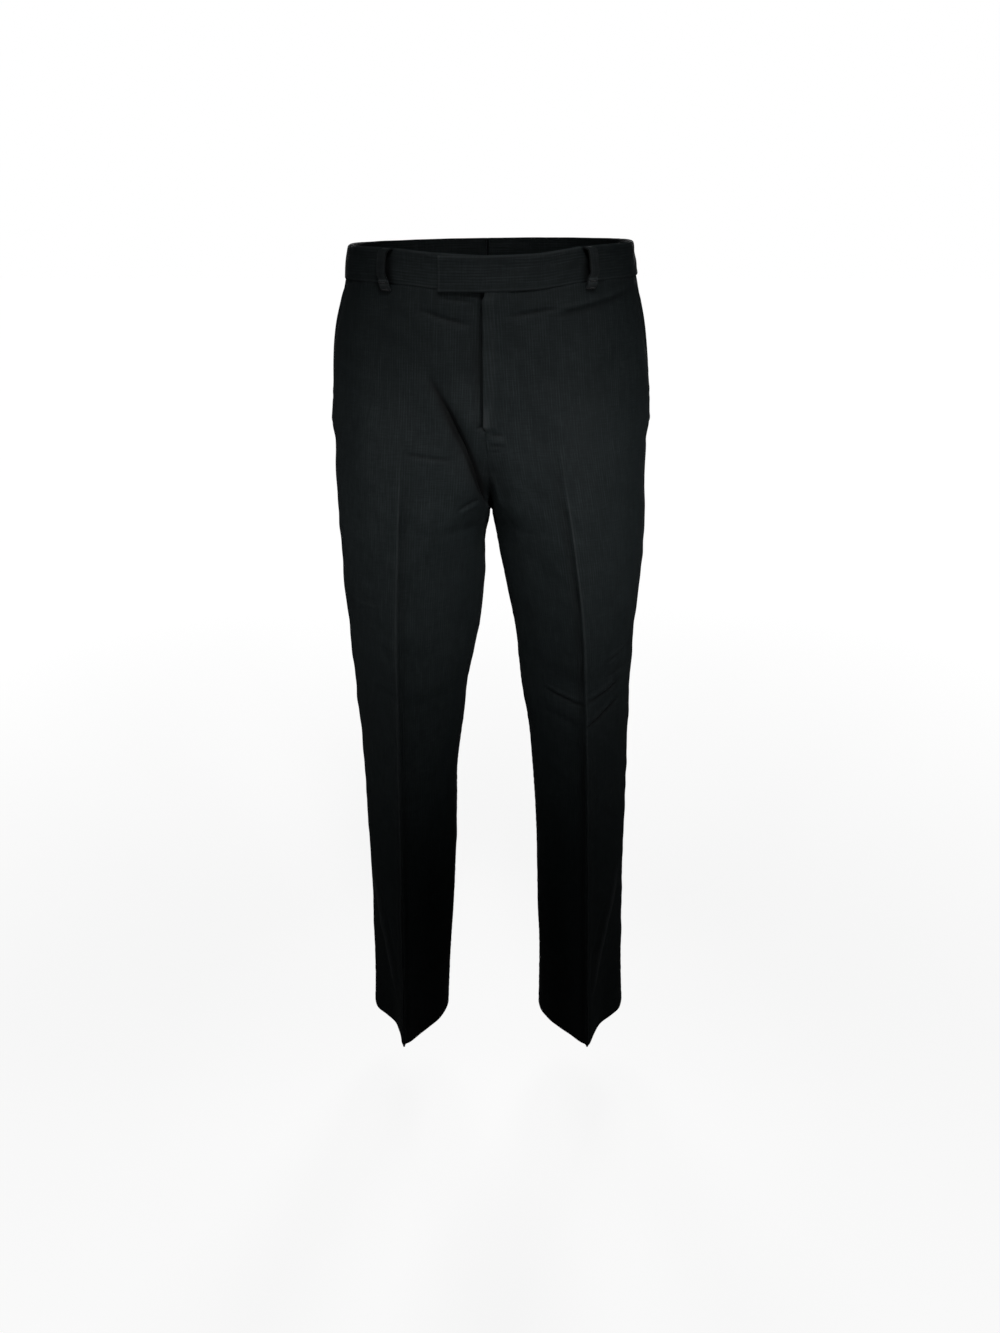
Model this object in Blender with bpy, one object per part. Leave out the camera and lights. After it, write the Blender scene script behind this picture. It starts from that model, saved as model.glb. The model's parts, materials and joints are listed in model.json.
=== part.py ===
"""Flat-front dress trousers, in the hollow form they keep when worn.

The garment is cut and sewn from separate pieces, and each piece is its own closed wall of cloth: two
fronts, two backs, two pocket bearers that show in the side pocket mouths, a waistband in two halves (the
left half ends in the extension tab that closes over the right) and seven belt loops.

One smooth form carries them all.  form(side, turn, height) is a point of the outer face: side is the
wearer's "right" or "left", turn runs from 0 at the front inner edge (centre-front seam, or inseam below
the fork) through 0.25 at the front crease, 0.5 at the side seam and 0.75 at the back crease to 1 at the
back inner edge, and height is Z.  Every piece is a grid of points on that form, moved out or in along
its facing.  Metres, +Z up; the wearer faces -Y and +X is the wearer's left; the origin is on the body's
axis at the middle of the waistband's height.
"""

import math
from functools import lru_cache

import bmesh
import bpy
from mathutils import Vector

# Driving dimensions.
CLOTH = 0.0015          # wall of the fronts, backs and bearers
SEAM = 0.0003           # gap kept between neighbouring pieces
FORK = -0.272           # height where the two inseams and the rise seam meet
HEM = -1.009            # height of the hem at the front crease
HEM_DROP = 0.004        # the hem is this much lower at the back crease
BAND_HEIGHT = 0.0345
BAND_CLOTH = 0.003      # waistband: cloth, interlining and facing together
BAND_PROUD = 0.0006     # the band's face stands this far outside the panels' face
TAB_END = -0.0516       # X of the square end of the extension tab
TAB_LIFT = 0.0041       # the tab's face outside the form, where it laps the right half
TAB_DROP = 0.0026       # the tab's end hangs this much lower than the right half
TAB_BLEND = 0.055       # distance over which the left half rises to the tab
RIGHT_BAND_END = 0.008  # X where the right half ends, under the tab
FLY_FOOT = -0.1525      # height where the fly's edge joins the centre seam
FLY_UNDERLAP = 0.010    # the right front runs on this far under the left one
LAP_WIDTH = 0.040       # distance over which the left front rises to lap the right
LOOP_WIDTH = 0.0115
LOOP_CLOTH = 0.0018
BEARER_GAP = 0.0004     # gap kept between a bearer and the front it lies behind
BAND_ROWS = (0.0, 0.34, 0.67, 1.0)      # parts of the band's height where it has a row of points
STEP = 0.002            # distance used to read the form's slope
CREASE_LIMIT = 0.6      # a wall grows thicker at a sharp crease by at most one over this

TROUSER_COLOUR = (0.0105, 0.0118, 0.0128, 1.0)
LOOP_COLOUR = (0.0150, 0.0155, 0.0160, 1.0)
ROUGHNESS_OF_CLOTH = 0.85
SHARP_ANGLE = math.radians(40)      # faces that meet more sharply than this show an edge


class Table:
    """Rows of numbers under named columns, read smoothly between rows; the first column is the key."""

    def __init__(self, columns, *rows):
        self.names = columns.split()
        self.rows = sorted(rows)
        self.keys = [row[0] for row in self.rows]

    def at(self, name, key):
        column = self.names.index(name)
        values = [row[column] for row in self.rows]
        keys = self.keys
        if key <= keys[0]:
            return values[0]
        if key >= keys[-1]:
            return values[-1]
        i = max(n for n, start in enumerate(keys[:-1]) if start <= key)
        rises = [(b - a) / (q - p) for a, b, p, q in zip(values, values[1:], keys, keys[1:])]
        width = keys[i + 1] - keys[i]
        start, end = self.slope(rises, i), self.slope(rises, i + 1)
        t = (key - keys[i]) / width
        return (
            values[i] * (1 + 2 * t) * (1 - t) ** 2
            + values[i + 1] * (3 - 2 * t) * t * t
            + width * (start * t * (1 - t) ** 2 - end * (1 - t) * t * t)
        )

    @staticmethod
    def slope(rises, i):
        """Slope at row i that never overshoots: the harmonic mean of the rises on both sides."""
        if i == 0:
            return rises[0]
        if i == len(rises):
            return rises[-1]
        before, after = rises[i - 1], rises[i]
        return 2 * before * after / (before + after) if before * after > 0 else 0.0


# X of the side seams, which are the outline seen from the front.
SIDES = Table(
    "height right left",
    (0.035, -0.1480, 0.1475),
    (0.020, -0.1512, 0.1510),
    (0.000, -0.1563, 0.1555),
    (-0.020, -0.1582, 0.1585),
    (-0.040, -0.1645, 0.1640),
    (-0.060, -0.1700, 0.1685),
    (-0.080, -0.1732, 0.1715),
    (-0.110, -0.1755, 0.1742),
    (-0.150, -0.1768, 0.1754),
    (-0.190, -0.1778, 0.1760),
    (-0.230, -0.1800, 0.1782),
    (-0.300, -0.1794, 0.1806),
    (-0.360, -0.1786, 0.1774),
    (-0.430, -0.1743, 0.1742),
    (-0.545, -0.1694, 0.1733),
    (-0.670, -0.1664, 0.1744),
    (-0.780, -0.1657, 0.1766),
    (-0.880, -0.1672, 0.1795),
    (-0.960, -0.1692, 0.1831),
    (-1.015, -0.1722, 0.1868),
)

# X of the rise seam above the fork, and of the inseams below it.
INNER = Table(
    "height right left",
    (0.035, -0.0050, -0.0050),
    (-0.180, -0.0046, -0.0046),
    (-0.240, -0.0008, -0.0008),
    (FORK, -0.0008, -0.0008),
    (-0.280, -0.0018, 0.0004),
    (-0.286, -0.0038, 0.0024),
    (-0.294, -0.0056, 0.0038),
    (-0.310, -0.0080, 0.0066),
    (-0.340, -0.0082, 0.0121),
    (-0.380, -0.0101, 0.0201),
    (-0.430, -0.0176, 0.0291),
    (-0.500, -0.0315, 0.0362),
    (-0.545, -0.0359, 0.0445),
    (-0.610, -0.0450, 0.0507),
    (-0.670, -0.0466, 0.0552),
    (-0.750, -0.0494, 0.0589),
    (-0.835, -0.0538, 0.0610),
    (-0.920, -0.0598, 0.0646),
    (-1.015, -0.0645, 0.0646),
)

# X of the creases, which go on up to the waist as plain grain lines.
CREASES = Table(
    "height right_front left_front right_back left_back",
    (0.035, -0.084, 0.056, -0.080, 0.080),
    (-0.160, -0.093, 0.070, -0.086, 0.084),
    (-0.277, -0.101, 0.089, -0.094, 0.092),
    (-0.400, -0.108, 0.105, -0.099, 0.101),
    (-0.610, -0.113, 0.116, -0.106, 0.113),
    (-1.015, -0.122, 0.129, -0.117, 0.125),
)

# Y of the front crease line, the side seam, the back crease line and the inseam.
DEPTHS = Table(
    "height front side back inseam",
    (0.035, -0.108, -0.004, 0.112, -0.012),
    (-0.100, -0.1205, 0.000, 0.142, -0.012),
    (-0.140, -0.1212, 0.002, 0.150, -0.012),
    (-0.180, -0.1206, 0.003, 0.1515, -0.012),
    (-0.220, -0.1195, 0.004, 0.1485, -0.012),
    (FORK, -0.1180, 0.005, 0.140, -0.012),
    (-0.330, -0.1135, 0.005, 0.130, -0.008),
    (-0.420, -0.1065, 0.005, 0.117, -0.003),
    (-0.525, -0.0985, 0.005, 0.107, 0.000),
    (-0.650, -0.0925, 0.005, 0.101, 0.001),
    (-0.800, -0.0890, 0.006, 0.095, 0.002),
    (-1.015, -0.0900, 0.0075, 0.089, 0.003),
)

# Y of the rise seam at the front and at the back: down the belly and the seat, and under to the fork.
RISE = Table(
    "height front back",
    (0.035, -0.1165, 0.1185),
    (-0.020, -0.1205, 0.1225),
    (-0.060, -0.1215, 0.1330),
    (-0.100, -0.1218, 0.1425),
    (-0.140, -0.1208, 0.1470),
    (-0.175, -0.1185, 0.1455),
    (-0.200, -0.1135, 0.1390),
    (-0.220, -0.1030, 0.1270),
    (-0.240, -0.0830, 0.1050),
    (-0.255, -0.0600, 0.0760),
    (-0.265, -0.0380, 0.0430),
    (-0.270, -0.0220, 0.0150),
    (FORK, -0.0120, -0.0120),
)

# Roundness of a leg's section.  seam: how far it runs level with a seam before it turns in (inner and
# outer seams); reach: how far it runs on from a crease; press: how much it falls away beside the crease,
# where 0 is round and 0.3 is pressed sharp.
ROUNDNESS = Table(
    "height inner_seam outer_seam front_reach front_press back_reach back_press",
    (-0.180, 0.68, 0.60, 0.62, 0.00, 0.62, 0.00),
    (FORK, 0.70, 0.57, 0.56, 0.02, 0.58, 0.01),
    (-0.340, 0.62, 0.55, 0.50, 0.07, 0.53, 0.05),
    (-0.460, 0.53, 0.50, 0.46, 0.15, 0.49, 0.11),
    (-0.610, 0.45, 0.45, 0.43, 0.23, 0.46, 0.18),
    (-0.800, 0.39, 0.40, 0.42, 0.29, 0.44, 0.24),
    (-1.015, 0.35, 0.36, 0.42, 0.32, 0.43, 0.27),
)
WAIST_FULLNESS = 2.25    # power of the body's section at the waist, where 2 is an ellipse
TRUNK_ENDS = {"front": (-0.090, -0.210), "back": (-0.030, -0.140)}  # heights where body turns into legs

# Middle of the waistband's height, by the distance round from the centre front.
WAIST_LINE = Table(
    "around right left",
    (0.000, -0.0016, -0.0016),
    (0.050, 0.0010, 0.0002),
    (0.107, 0.0045, 0.0062),
    (0.160, 0.0036, 0.0070),
    (0.222, 0.0020, 0.0060),
    (0.330, 0.0000, 0.0030),
    (0.445, 0.0010, 0.0010),
)

# Side pocket mouth: how far its edge lies ahead of the side seam, and how far the edge gapes inward.
# The cloth bulges round the side seam there, over a distance BULGE_WIDTH each way.
POCKET = Table(
    "height ahead gape",
    (-0.010, 0.032, 0.0000),
    (-0.040, 0.028, 0.0008),
    (-0.087, 0.020, 0.0024),
    (-0.130, 0.012, 0.0038),
    (-0.166, 0.005, 0.0042),
    (-0.183, 0.003, 0.0006),
    (-0.187, 0.000, 0.0000),
)
POCKET_FOOT = -0.183
MOUTH_WIDTH = 0.022     # distance from the pocket edge over which the front gapes
BULGE = Table(
    "height right left",
    (-0.050, 0.0000, 0.0000),
    (-0.080, 0.0007, 0.0006),
    (-0.110, 0.0023, 0.0022),
    (-0.140, 0.0038, 0.0044),
    (-0.160, 0.0048, 0.0049),
    (-0.172, 0.0045, 0.0034),
    (-0.180, 0.0028, 0.0008),
    (-0.189, 0.0000, 0.0000),
)
BULGE_WIDTH = 0.030

# How far the fly's edge stands off the form, and how far the right front falls back beside it.
FLY = Table(
    "height lift fall",
    (-0.015, 0.0036, 0.0022),
    (-0.060, 0.0030, 0.0008),
    (-0.120, 0.0024, 0.0000),
    (-0.163, 0.0020, 0.0000),
    (-0.186, 0.0000, 0.0000),
)

# Hollow beside the front crease above the hem, on the outer side, which leaves the crease as a beak.
BEAK = Table(
    "height right left",
    (-0.780, 0.0000, 0.0000),
    (-0.900, 0.0050, 0.0055),
    (-0.960, 0.0120, 0.0100),
    (-1.015, 0.0160, 0.0125),
)
BEAK_LEAN = 0.9         # below 1, the hollow is deepest nearer the crease than the side seam

# The largest folds.  Each runs between two places seen from the front or the back; a depth below zero
# is a trough and above zero a ridge, and the width is the distance at which it has mostly faded.
FOLD_COLUMNS = "half x z end_x end_z width depth"
FOLD_FADE = 0.4         # part of a fold's run over which each end fades away
FOLDS = (
    ("front", -0.060, -0.114, -0.009, -0.224, 0.012, -0.0045),
    ("front", -0.044, -0.108, -0.020, -0.172, 0.014, 0.0025),
    ("front", 0.020, -0.205, 0.034, -0.300, 0.014, -0.0025),
    ("front", 0.055, -0.462, 0.150, -0.474, 0.016, -0.0030),
    ("front", 0.100, -0.512, 0.158, -0.486, 0.014, -0.0030),
    ("front", 0.075, -0.492, 0.140, -0.488, 0.016, 0.0025),
    ("back", -0.030, -0.262, -0.120, -0.305, 0.018, -0.0050),
    ("back", 0.026, -0.268, 0.112, -0.312, 0.018, -0.0050),
    ("back", -0.055, -0.330, -0.140, -0.352, 0.018, -0.0035),
    ("back", 0.050, -0.338, 0.138, -0.366, 0.018, -0.0030),
    ("back", -0.080, -0.520, -0.145, -0.545, 0.018, -0.0035),
    ("back", 0.082, -0.535, 0.150, -0.555, 0.018, -0.0035),
)

# Side profile of a belt loop: how far below the band's top edge, and the clear gap behind it.
LOOP_PROFILE = Table(
    "down clear",
    (0.0008, 0.0003),
    (0.0030, 0.0044),
    (0.0065, 0.0062),
    (0.0160, 0.0066),
    (0.0270, 0.0064),
    (0.0325, 0.0056),
    (0.0370, 0.0034),
    (0.0415, 0.0003),
)
LOOP_X = {"right": -0.103, "left": 0.098}    # X of the two front loops
LOOP_TURNS = (0.595, 0.810)                  # a loop behind each side seam and one over each back
FRONT, BACK = "front", "back"
FRONT_TURN, BACK_TURN = 0.3, 0.7             # turns beside the front and the back crease, toward the side


def smooth(t):
    """0 to 1 with level ends."""
    t = min(1.0, max(0.0, t))
    return t * t * (3 - 2 * t)


def trunk_quarter(middle, side, count=49):
    """The body's section from the centre front or back, where it runs along X, to the side seam."""
    power = 2 / WAIST_FULLNESS
    points = []
    for i in range(count):
        angle = math.pi / 2 * i / (count - 1)
        x = middle.x + (side.x - middle.x) * math.sin(angle) ** power
        y = side.y + (middle.y - side.y) * max(0.0, math.cos(angle)) ** power
        points.append(Vector((x, y)))
    return points


def leg_quarter(seam, crease, seam_run, reach, press, count=49):
    """A leg's section from a seam, where it runs along Y, to a crease; a cubic curve with two handles."""
    run = seam + Vector((0.0, (crease.y - seam.y) * seam_run))
    fall = crease + Vector(((seam.x - crease.x) * reach, (seam.y - crease.y) * press))
    points = []
    for i in range(count):
        t = i / (count - 1)
        u = 1 - t
        points.append(u**3 * seam + 3 * u * u * t * run + 3 * u * t * t * fall + t**3 * crease)
    return points


def lengths(points):
    """Distance along the points, from 0 at the first."""
    total = [0.0]
    for a, b in zip(points, points[1:]):
        total.append(total[-1] + (b - a).length)
    return total


def place_along(points, marks, distance):
    """The point at a distance along, where marks are the points' own distances."""
    for i in range(1, len(points)):
        if marks[i] >= distance or i == len(points) - 1:
            span = marks[i] - marks[i - 1]
            part = (distance - marks[i - 1]) / span if span > 0 else 0.0
            return points[i - 1].lerp(points[i], min(1.0, max(0.0, part)))
    return points[-1]


def even(points, count=33):
    """The same line with evenly spaced points."""
    marks = lengths(points)
    return [place_along(points, marks, marks[-1] * i / (count - 1)) for i in range(count)]


def split_at_x(points, x):
    """A line in two, where it crosses x."""
    for i in range(1, len(points)):
        a, b = points[i - 1], points[i]
        if (a.x - x) * (b.x - x) <= 0 and a.x != b.x:
            middle = a.lerp(b, (x - a.x) / (b.x - a.x))
            return points[:i] + [middle], [middle] + points[i:]
    raise ValueError("the crease lies outside the section")


@lru_cache(maxsize=None)
def section(side, height):
    """Outer face of one side at a height, as four lines: to the front crease, side seam, back crease, end."""
    above = height > FORK
    seam_x = INNER.at(side, height)
    outer = Vector((SIDES.at(side, height), DEPTHS.at("side", height)))
    halves = []
    for half in (FRONT, BACK):
        start, end = TRUNK_ENDS[half]
        inner_y = RISE.at(half, height) if above else DEPTHS.at("inseam", height)
        inner = Vector((seam_x, inner_y))
        crease = Vector((CREASES.at(side + "_" + half, height), DEPTHS.at(half, height)))
        reach, press = ROUNDNESS.at(half + "_reach", height), ROUNDNESS.at(half + "_press", height)
        leg = [
            even(leg_quarter(inner, crease, ROUNDNESS.at("inner_seam", height), reach, press)),
            even(leg_quarter(outer, crease, ROUNDNESS.at("outer_seam", height), reach, press)[::-1]),
        ]
        weight = smooth((height - start) / (end - start))
        if weight < 1.0:
            trunk = split_at_x(trunk_quarter(inner, outer), crease.x)
            trunk = [even(line) for line in trunk]
            leg = [
                even([a.lerp(b, weight) for a, b in zip(upper, lower)])
                for upper, lower in zip(trunk, leg)
            ]
        halves.append(leg)
    front, back = halves
    return front[0], front[1], back[1][::-1], back[0][::-1]


def bare(side, turn, height):
    """A point of the form before its folds."""
    turn = min(1.0, max(0.0, turn))
    index = min(3, int(turn * 4))
    line = section(side, round(height, 6))[index]
    place = (turn * 4 - index) * (len(line) - 1)
    i = min(len(line) - 2, int(place))
    flat = line[i].lerp(line[i + 1], place - i)
    return Vector((flat.x, flat.y, height))


def quarter_length(side, turn, height):
    line = section(side, round(height, 6))[min(3, int(turn * 4))]
    return lengths(line)[-1]


def turns_over(distance, side, turn, height):
    """How much of a turn a distance takes up, in the quarter that holds a turn."""
    return 0.25 * distance / quarter_length(side, turn, height)


def facing(side, turn, height):
    """Outward normal of the form, longer at a sharp crease so that a wall keeps its thickness there."""
    step = turns_over(STEP, side, turn, height)
    here = bare(side, turn, height)
    before, after = turn - step, turn + step
    if before >= 0 and after <= 1:
        across = bare(side, after, height) - bare(side, before, height)
    elif height > FORK:
        across = Vector((here.x - SIDES.at(side, height), 0, 0)) * (1 if after > 1 else -1)
    else:
        across = bare(side, after % 1, height) - bare(side, before % 1, height)
    rise = bare(side, turn, height + STEP) - bare(side, turn, height - STEP)
    sign = 1 if side == "left" else -1
    normal = across.cross(rise).normalized() * sign
    beside = bare(side, after if after <= 1 else before, height) - here
    face = beside.cross(rise).normalized()
    return normal / max(CREASE_LIMIT, abs(normal.dot(face)))


def fold_lift(half, point):
    """How far the largest folds lift the cloth at a point of the front or the back."""
    lift = 0.0
    for row in FOLDS:
        fold = dict(zip(FOLD_COLUMNS.split(), row))
        if fold["half"] != half:
            continue
        start = Vector((fold["x"], fold["z"]))
        run = Vector((fold["end_x"], fold["end_z"])) - start
        place = Vector((point.x, point.z)) - start
        part = place.dot(run) / run.length_squared
        nearest = start + run * min(1.0, max(0.0, part))
        distance = (Vector((point.x, point.z)) - nearest).length
        fade = smooth(part / FOLD_FADE) * smooth((1 - part) / FOLD_FADE)
        lift += fold["depth"] * fade * math.exp(-((distance / fold["width"]) ** 2))
    return lift


def beak_lift(side, turn, height):
    """The hollow on the outer side of the front crease above the hem."""
    if not 0.25 < turn < 0.5:
        return 0.0
    part = (turn - 0.25) * 4
    return -BEAK.at(side, height) * math.sin(math.pi * part**BEAK_LEAN) ** 2


def bulge_lift(side, turn, height):
    """The cloth's bulge round the side seam beside the pocket mouth."""
    away = abs(turn - 0.5) * 4 * quarter_length(side, turn, height) / BULGE_WIDTH
    return BULGE.at(side, height) * math.exp(-(away**2))


def form(side, turn, height, lift=0.0):
    """A point of the outer face, moved out by lift."""
    point = bare(side, turn, height)
    half = FRONT if turn < 0.5 else BACK
    lift += fold_lift(half, point) + beak_lift(side, turn, height) + bulge_lift(side, turn, height)
    return point + facing(side, turn, height).normalized() * lift


def around(side, turn):
    """Distance round the waist from the centre front."""
    whole = int(min(3, turn * 4))
    spans = [lengths(line)[-1] for line in section(side, 0.0)]
    return sum(spans[:whole]) + spans[whole] * (turn * 4 - whole)


def waist_line(side, turn):
    return WAIST_LINE.at(side, around(side, turn))


def panel_top(side, turn):
    return waist_line(side, turn) - BAND_HEIGHT / 2 - SEAM / 2


def hem_height(turn):
    return HEM - HEM_DROP * (1 - math.sin(2 * math.pi * turn)) / 2


def turn_at_x(side, x, height):
    """The turn on the front where the form crosses x."""
    low, high = 0.0, 0.5
    for _ in range(40):
        middle = (low + high) / 2
        if abs(bare(side, middle, height).x) < abs(x):
            low = middle
        else:
            high = middle
    return (low + high) / 2


def material(name, colour, roughness):
    made = bpy.data.materials.new(name)
    made.use_nodes = True
    shader = made.node_tree.nodes["Principled BSDF"]
    shader.inputs["Base Color"].default_value = colour
    shader.inputs["Roughness"].default_value = roughness
    shader.inputs["Metallic"].default_value = 0.0
    made.diffuse_color = colour
    return made


def wall(name, outer, inner, colour, collection):
    """A closed wall of cloth between two grids of points, rows of columns, with a rim all round."""
    mesh = bmesh.new()
    faces_out = [[mesh.verts.new(point) for point in row] for row in outer]
    faces_in = [[mesh.verts.new(point) for point in row] for row in inner]
    rows, columns = len(outer), len(outer[0])
    for r in range(rows - 1):
        for c in range(columns - 1):
            for grid, order in ((faces_out, 1), (faces_in, -1)):
                a, b = grid[r][c], grid[r + 1][c]
                d, e = grid[r][c + 1], grid[r + 1][c + 1]
                mesh.faces.new((a, b, e)[::order])
                mesh.faces.new((a, e, d)[::order])
    border = [(0, c) for c in range(columns)]
    border += [(r, columns - 1) for r in range(1, rows)]
    border += [(rows - 1, c) for c in range(columns - 2, -1, -1)]
    border += [(r, 0) for r in range(rows - 2, 0, -1)]
    for (r, c), (next_r, next_c) in zip(border, border[1:] + border[:1]):
        near, far = faces_out[r][c], faces_out[next_r][next_c]
        near_in, far_in = faces_in[r][c], faces_in[next_r][next_c]
        mesh.faces.new((near, far, far_in))
        mesh.faces.new((near, far_in, near_in))
    bmesh.ops.recalc_face_normals(mesh, faces=mesh.faces)
    data = bpy.data.meshes.new(name)
    mesh.to_mesh(data)
    mesh.free()
    data.shade_smooth()
    data.set_sharp_from_angle(angle=SHARP_ANGLE)
    data.materials.append(material(name, colour, ROUGHNESS_OF_CLOTH))
    made = bpy.data.objects.new(name, data)
    collection.objects.link(made)
    return made


def cloth_grid(side, turns, heights, lift, thickness):
    """Outer and inner points of a piece: one row for each height, one column for each turn."""
    outer, inner = [], []
    for row, height in enumerate(heights):
        outer_row, inner_row = [], []
        for turn in turns(row):
            z = height(turn) if callable(height) else height
            point = form(side, turn, z, lift(turn, z))
            outer_row.append(point)
            inner_row.append(point - facing(side, turn, z) * thickness)
        outer.append(outer_row)
        inner.append(inner_row)
    return outer, inner


# Heights of a panel's rows below its top edge, and parts of a quarter turn where it has its columns:
# from the inner edge to the crease, and from the crease to the pocket edge or the side seam.
ROW_HEIGHTS = (
    -0.034, -0.054, -0.076, -0.100, -0.124, -0.146, -0.166, -0.183, -0.187, -0.201, -0.217,
    -0.232, -0.245, -0.256, -0.264, -0.2695, -0.272, -0.277, -0.285, -0.296, -0.312, -0.336, -0.366,
    -0.400, -0.434, -0.466, -0.496, -0.526, -0.566, -0.616, -0.672, -0.732, -0.792, -0.848,
    -0.896, -0.938, -0.975,
)
INNER_COLUMNS = (0.0, 0.14, 0.32, 0.54, 0.78, 0.93)
OUTER_COLUMNS = (0.0, 0.07, 0.24, 0.45, 0.66, 0.85, 1.0)


def inset(side, half, height):
    """The turn that keeps half a seam's gap off the inner edge."""
    return turns_over(SEAM / 2, side, 0.0 if half == FRONT else 1.0, height)


def pocket_turn(side, height):
    """Turn of the front's outer edge: the pocket edge, then the side seam."""
    return 0.5 - turns_over(POCKET.at("ahead", height) + SEAM / 2, side, FRONT_TURN, height)


def mouth_sink(side, turn, height):
    """How far the cloth ahead of the pocket edge gapes in from the form."""
    to_edge = (pocket_turn(side, height) - turn) * 4 * quarter_length(side, FRONT_TURN, height)
    return POCKET.at("gape", height) * (1 - smooth(to_edge / MOUTH_WIDTH))


def front_turns(side, height):
    """Turns of a front's columns: centre front or inseam, front crease, pocket edge or side seam."""
    first = inset(side, FRONT, height) if height <= FORK else 0.0
    last = pocket_turn(side, height)
    inner = [first] + [0.25 * part for part in INNER_COLUMNS[1:]]
    return inner + [0.25 + (last - 0.25) * part for part in OUTER_COLUMNS]


def back_turns(side, height):
    """Turns of a back's columns: side seam, back crease, centre back or inseam."""
    first = 0.5 + turns_over(SEAM / 2, side, BACK_TURN, height)
    last = 1.0 - (inset(side, BACK, height) if height <= FORK else 0.0)
    outer = [0.75 - (0.75 - first) * part for part in OUTER_COLUMNS[::-1]]
    inner = [0.75 + 0.25 * (1 - part) for part in INNER_COLUMNS[:0:-1]]
    return outer + inner + [last]


def add_front(side, collection):
    edge_out = 1 if side == "left" else -1

    def turns(row):
        return front_turns(side, rows[row](FRONT_TURN) if callable(rows[row]) else rows[row])

    def lift(turn, height):
        from_edge = turn * 4 * quarter_length(side, 0.0, height) if turn < 0.25 else 1.0
        near_fly = 1 - smooth((from_edge - FLY_UNDERLAP) / LAP_WIDTH)
        fly = FLY.at("lift", height) if side == "left" else -FLY.at("fall", height)
        return fly * near_fly - mouth_sink(side, turn, height)

    rows = [lambda turn: panel_top(side, turn), *ROW_HEIGHTS, hem_height]
    outer, inner = cloth_grid(side, turns, rows, lift, CLOTH)
    for row, height in enumerate(rows):
        height = height(0.0) if callable(height) else height
        shift = edge_out * SEAM / 2
        if side == "right" and height > FLY_FOOT:
            shift = FLY_UNDERLAP
        if height >= FORK:
            outer[row][0].x = INNER.at(side, height) + shift
        if height > FORK:
            inner[row][0].x = outer[row][0].x
    return wall("front_" + side, outer, inner, TROUSER_COLOUR, collection)


def add_back(side, collection):
    edge_out = 1 if side == "left" else -1

    def turns(row):
        return back_turns(side, rows[row](BACK_TURN) if callable(rows[row]) else rows[row])

    rows = [lambda turn: panel_top(side, turn), *ROW_HEIGHTS, hem_height]
    outer, inner = cloth_grid(side, turns, rows, lambda turn, height: 0.0, CLOTH)
    for row, height in enumerate(rows):
        height = height(1.0) if callable(height) else height
        if height >= FORK:
            outer[row][-1].x = INNER.at(side, height) + edge_out * SEAM / 2
        if height > FORK:
            inner[row][-1].x = outer[row][-1].x
    return wall("back_" + side, outer, inner, TROUSER_COLOUR, collection)


def add_bearer(side, collection):
    """The facing piece that shows in the open pocket mouth and runs on behind the front's last columns."""
    heights = [lambda turn: panel_top(side, turn)] + [z for z in ROW_HEIGHTS if z >= POCKET_FOOT]
    under = CLOTH + BEARER_GAP

    def turns(row):
        height = heights[row](FRONT_TURN) if row == 0 else heights[row]
        tucked, edge = front_turns(side, height)[-2:]
        seam = 0.5 - turns_over(SEAM / 2, side, FRONT_TURN, height)
        return [tucked, edge, (edge + seam) / 2, seam]

    def lift(turn, height):
        edge = pocket_turn(side, height)
        if turn <= edge:
            return -under - mouth_sink(side, turn, height)
        return -(under + POCKET.at("gape", height)) * (1 - smooth((turn - edge) / (0.5 - edge)))

    outer, inner = cloth_grid(side, turns, heights, lift, CLOTH)
    return wall("pocket_bearer_" + side, outer, inner, TROUSER_COLOUR, collection)


def band_grid(stops):
    """Rows and columns of a waistband half.  stops are (side, turn, lift, drop) along the band."""
    outer, inner = [], []
    for part in BAND_ROWS:
        outer_row, inner_row = [], []
        for side, turn, lift, drop in stops:
            bottom = waist_line(side, turn) - BAND_HEIGHT / 2 + SEAM / 2 - drop
            z = bottom + (BAND_HEIGHT - SEAM) * part
            point = bare(side, turn, z) + facing(side, turn, z) * lift
            outer_row.append(point)
            inner_row.append(point - facing(side, turn, z) * BAND_CLOTH)
        outer.append(outer_row)
        inner.append(inner_row)
    return outer, inner


def add_waistbands(collection):
    centre_back = 1.0 - turns_over(SEAM / 2, "right", 1.0, 0.0)

    def half(side):
        front = front_turns(side, panel_top(side, FRONT_TURN))
        return front[1:] + back_turns(side, panel_top(side, BACK_TURN))[:-1] + [centre_back]

    right = [("right", turn, BAND_PROUD, 0.0) for turn in [0.0] + half("right")]
    outer, inner = band_grid(right)
    for grid in (outer, inner):
        for row in grid:
            row[0].x = RIGHT_BAND_END
    wall("waistband_right", outer, inner, TROUSER_COLOUR, collection)

    end = turn_at_x("right", TAB_END, 0.0)
    tab = [end * part / 4 for part in range(4, 0, -1)]
    left = [("right", turn, TAB_LIFT, TAB_DROP * turn / end) for turn in tab]
    for turn in [0.0] + half("left"):
        rise = 1 - smooth((around("left", turn) - 2 * RIGHT_BAND_END) / TAB_BLEND)
        left.append(("left", turn, BAND_PROUD + (TAB_LIFT - BAND_PROUD) * rise, 0.0))
    outer, inner = band_grid(left)
    wall("waistband_left", outer, inner, TROUSER_COLOUR, collection)


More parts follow.
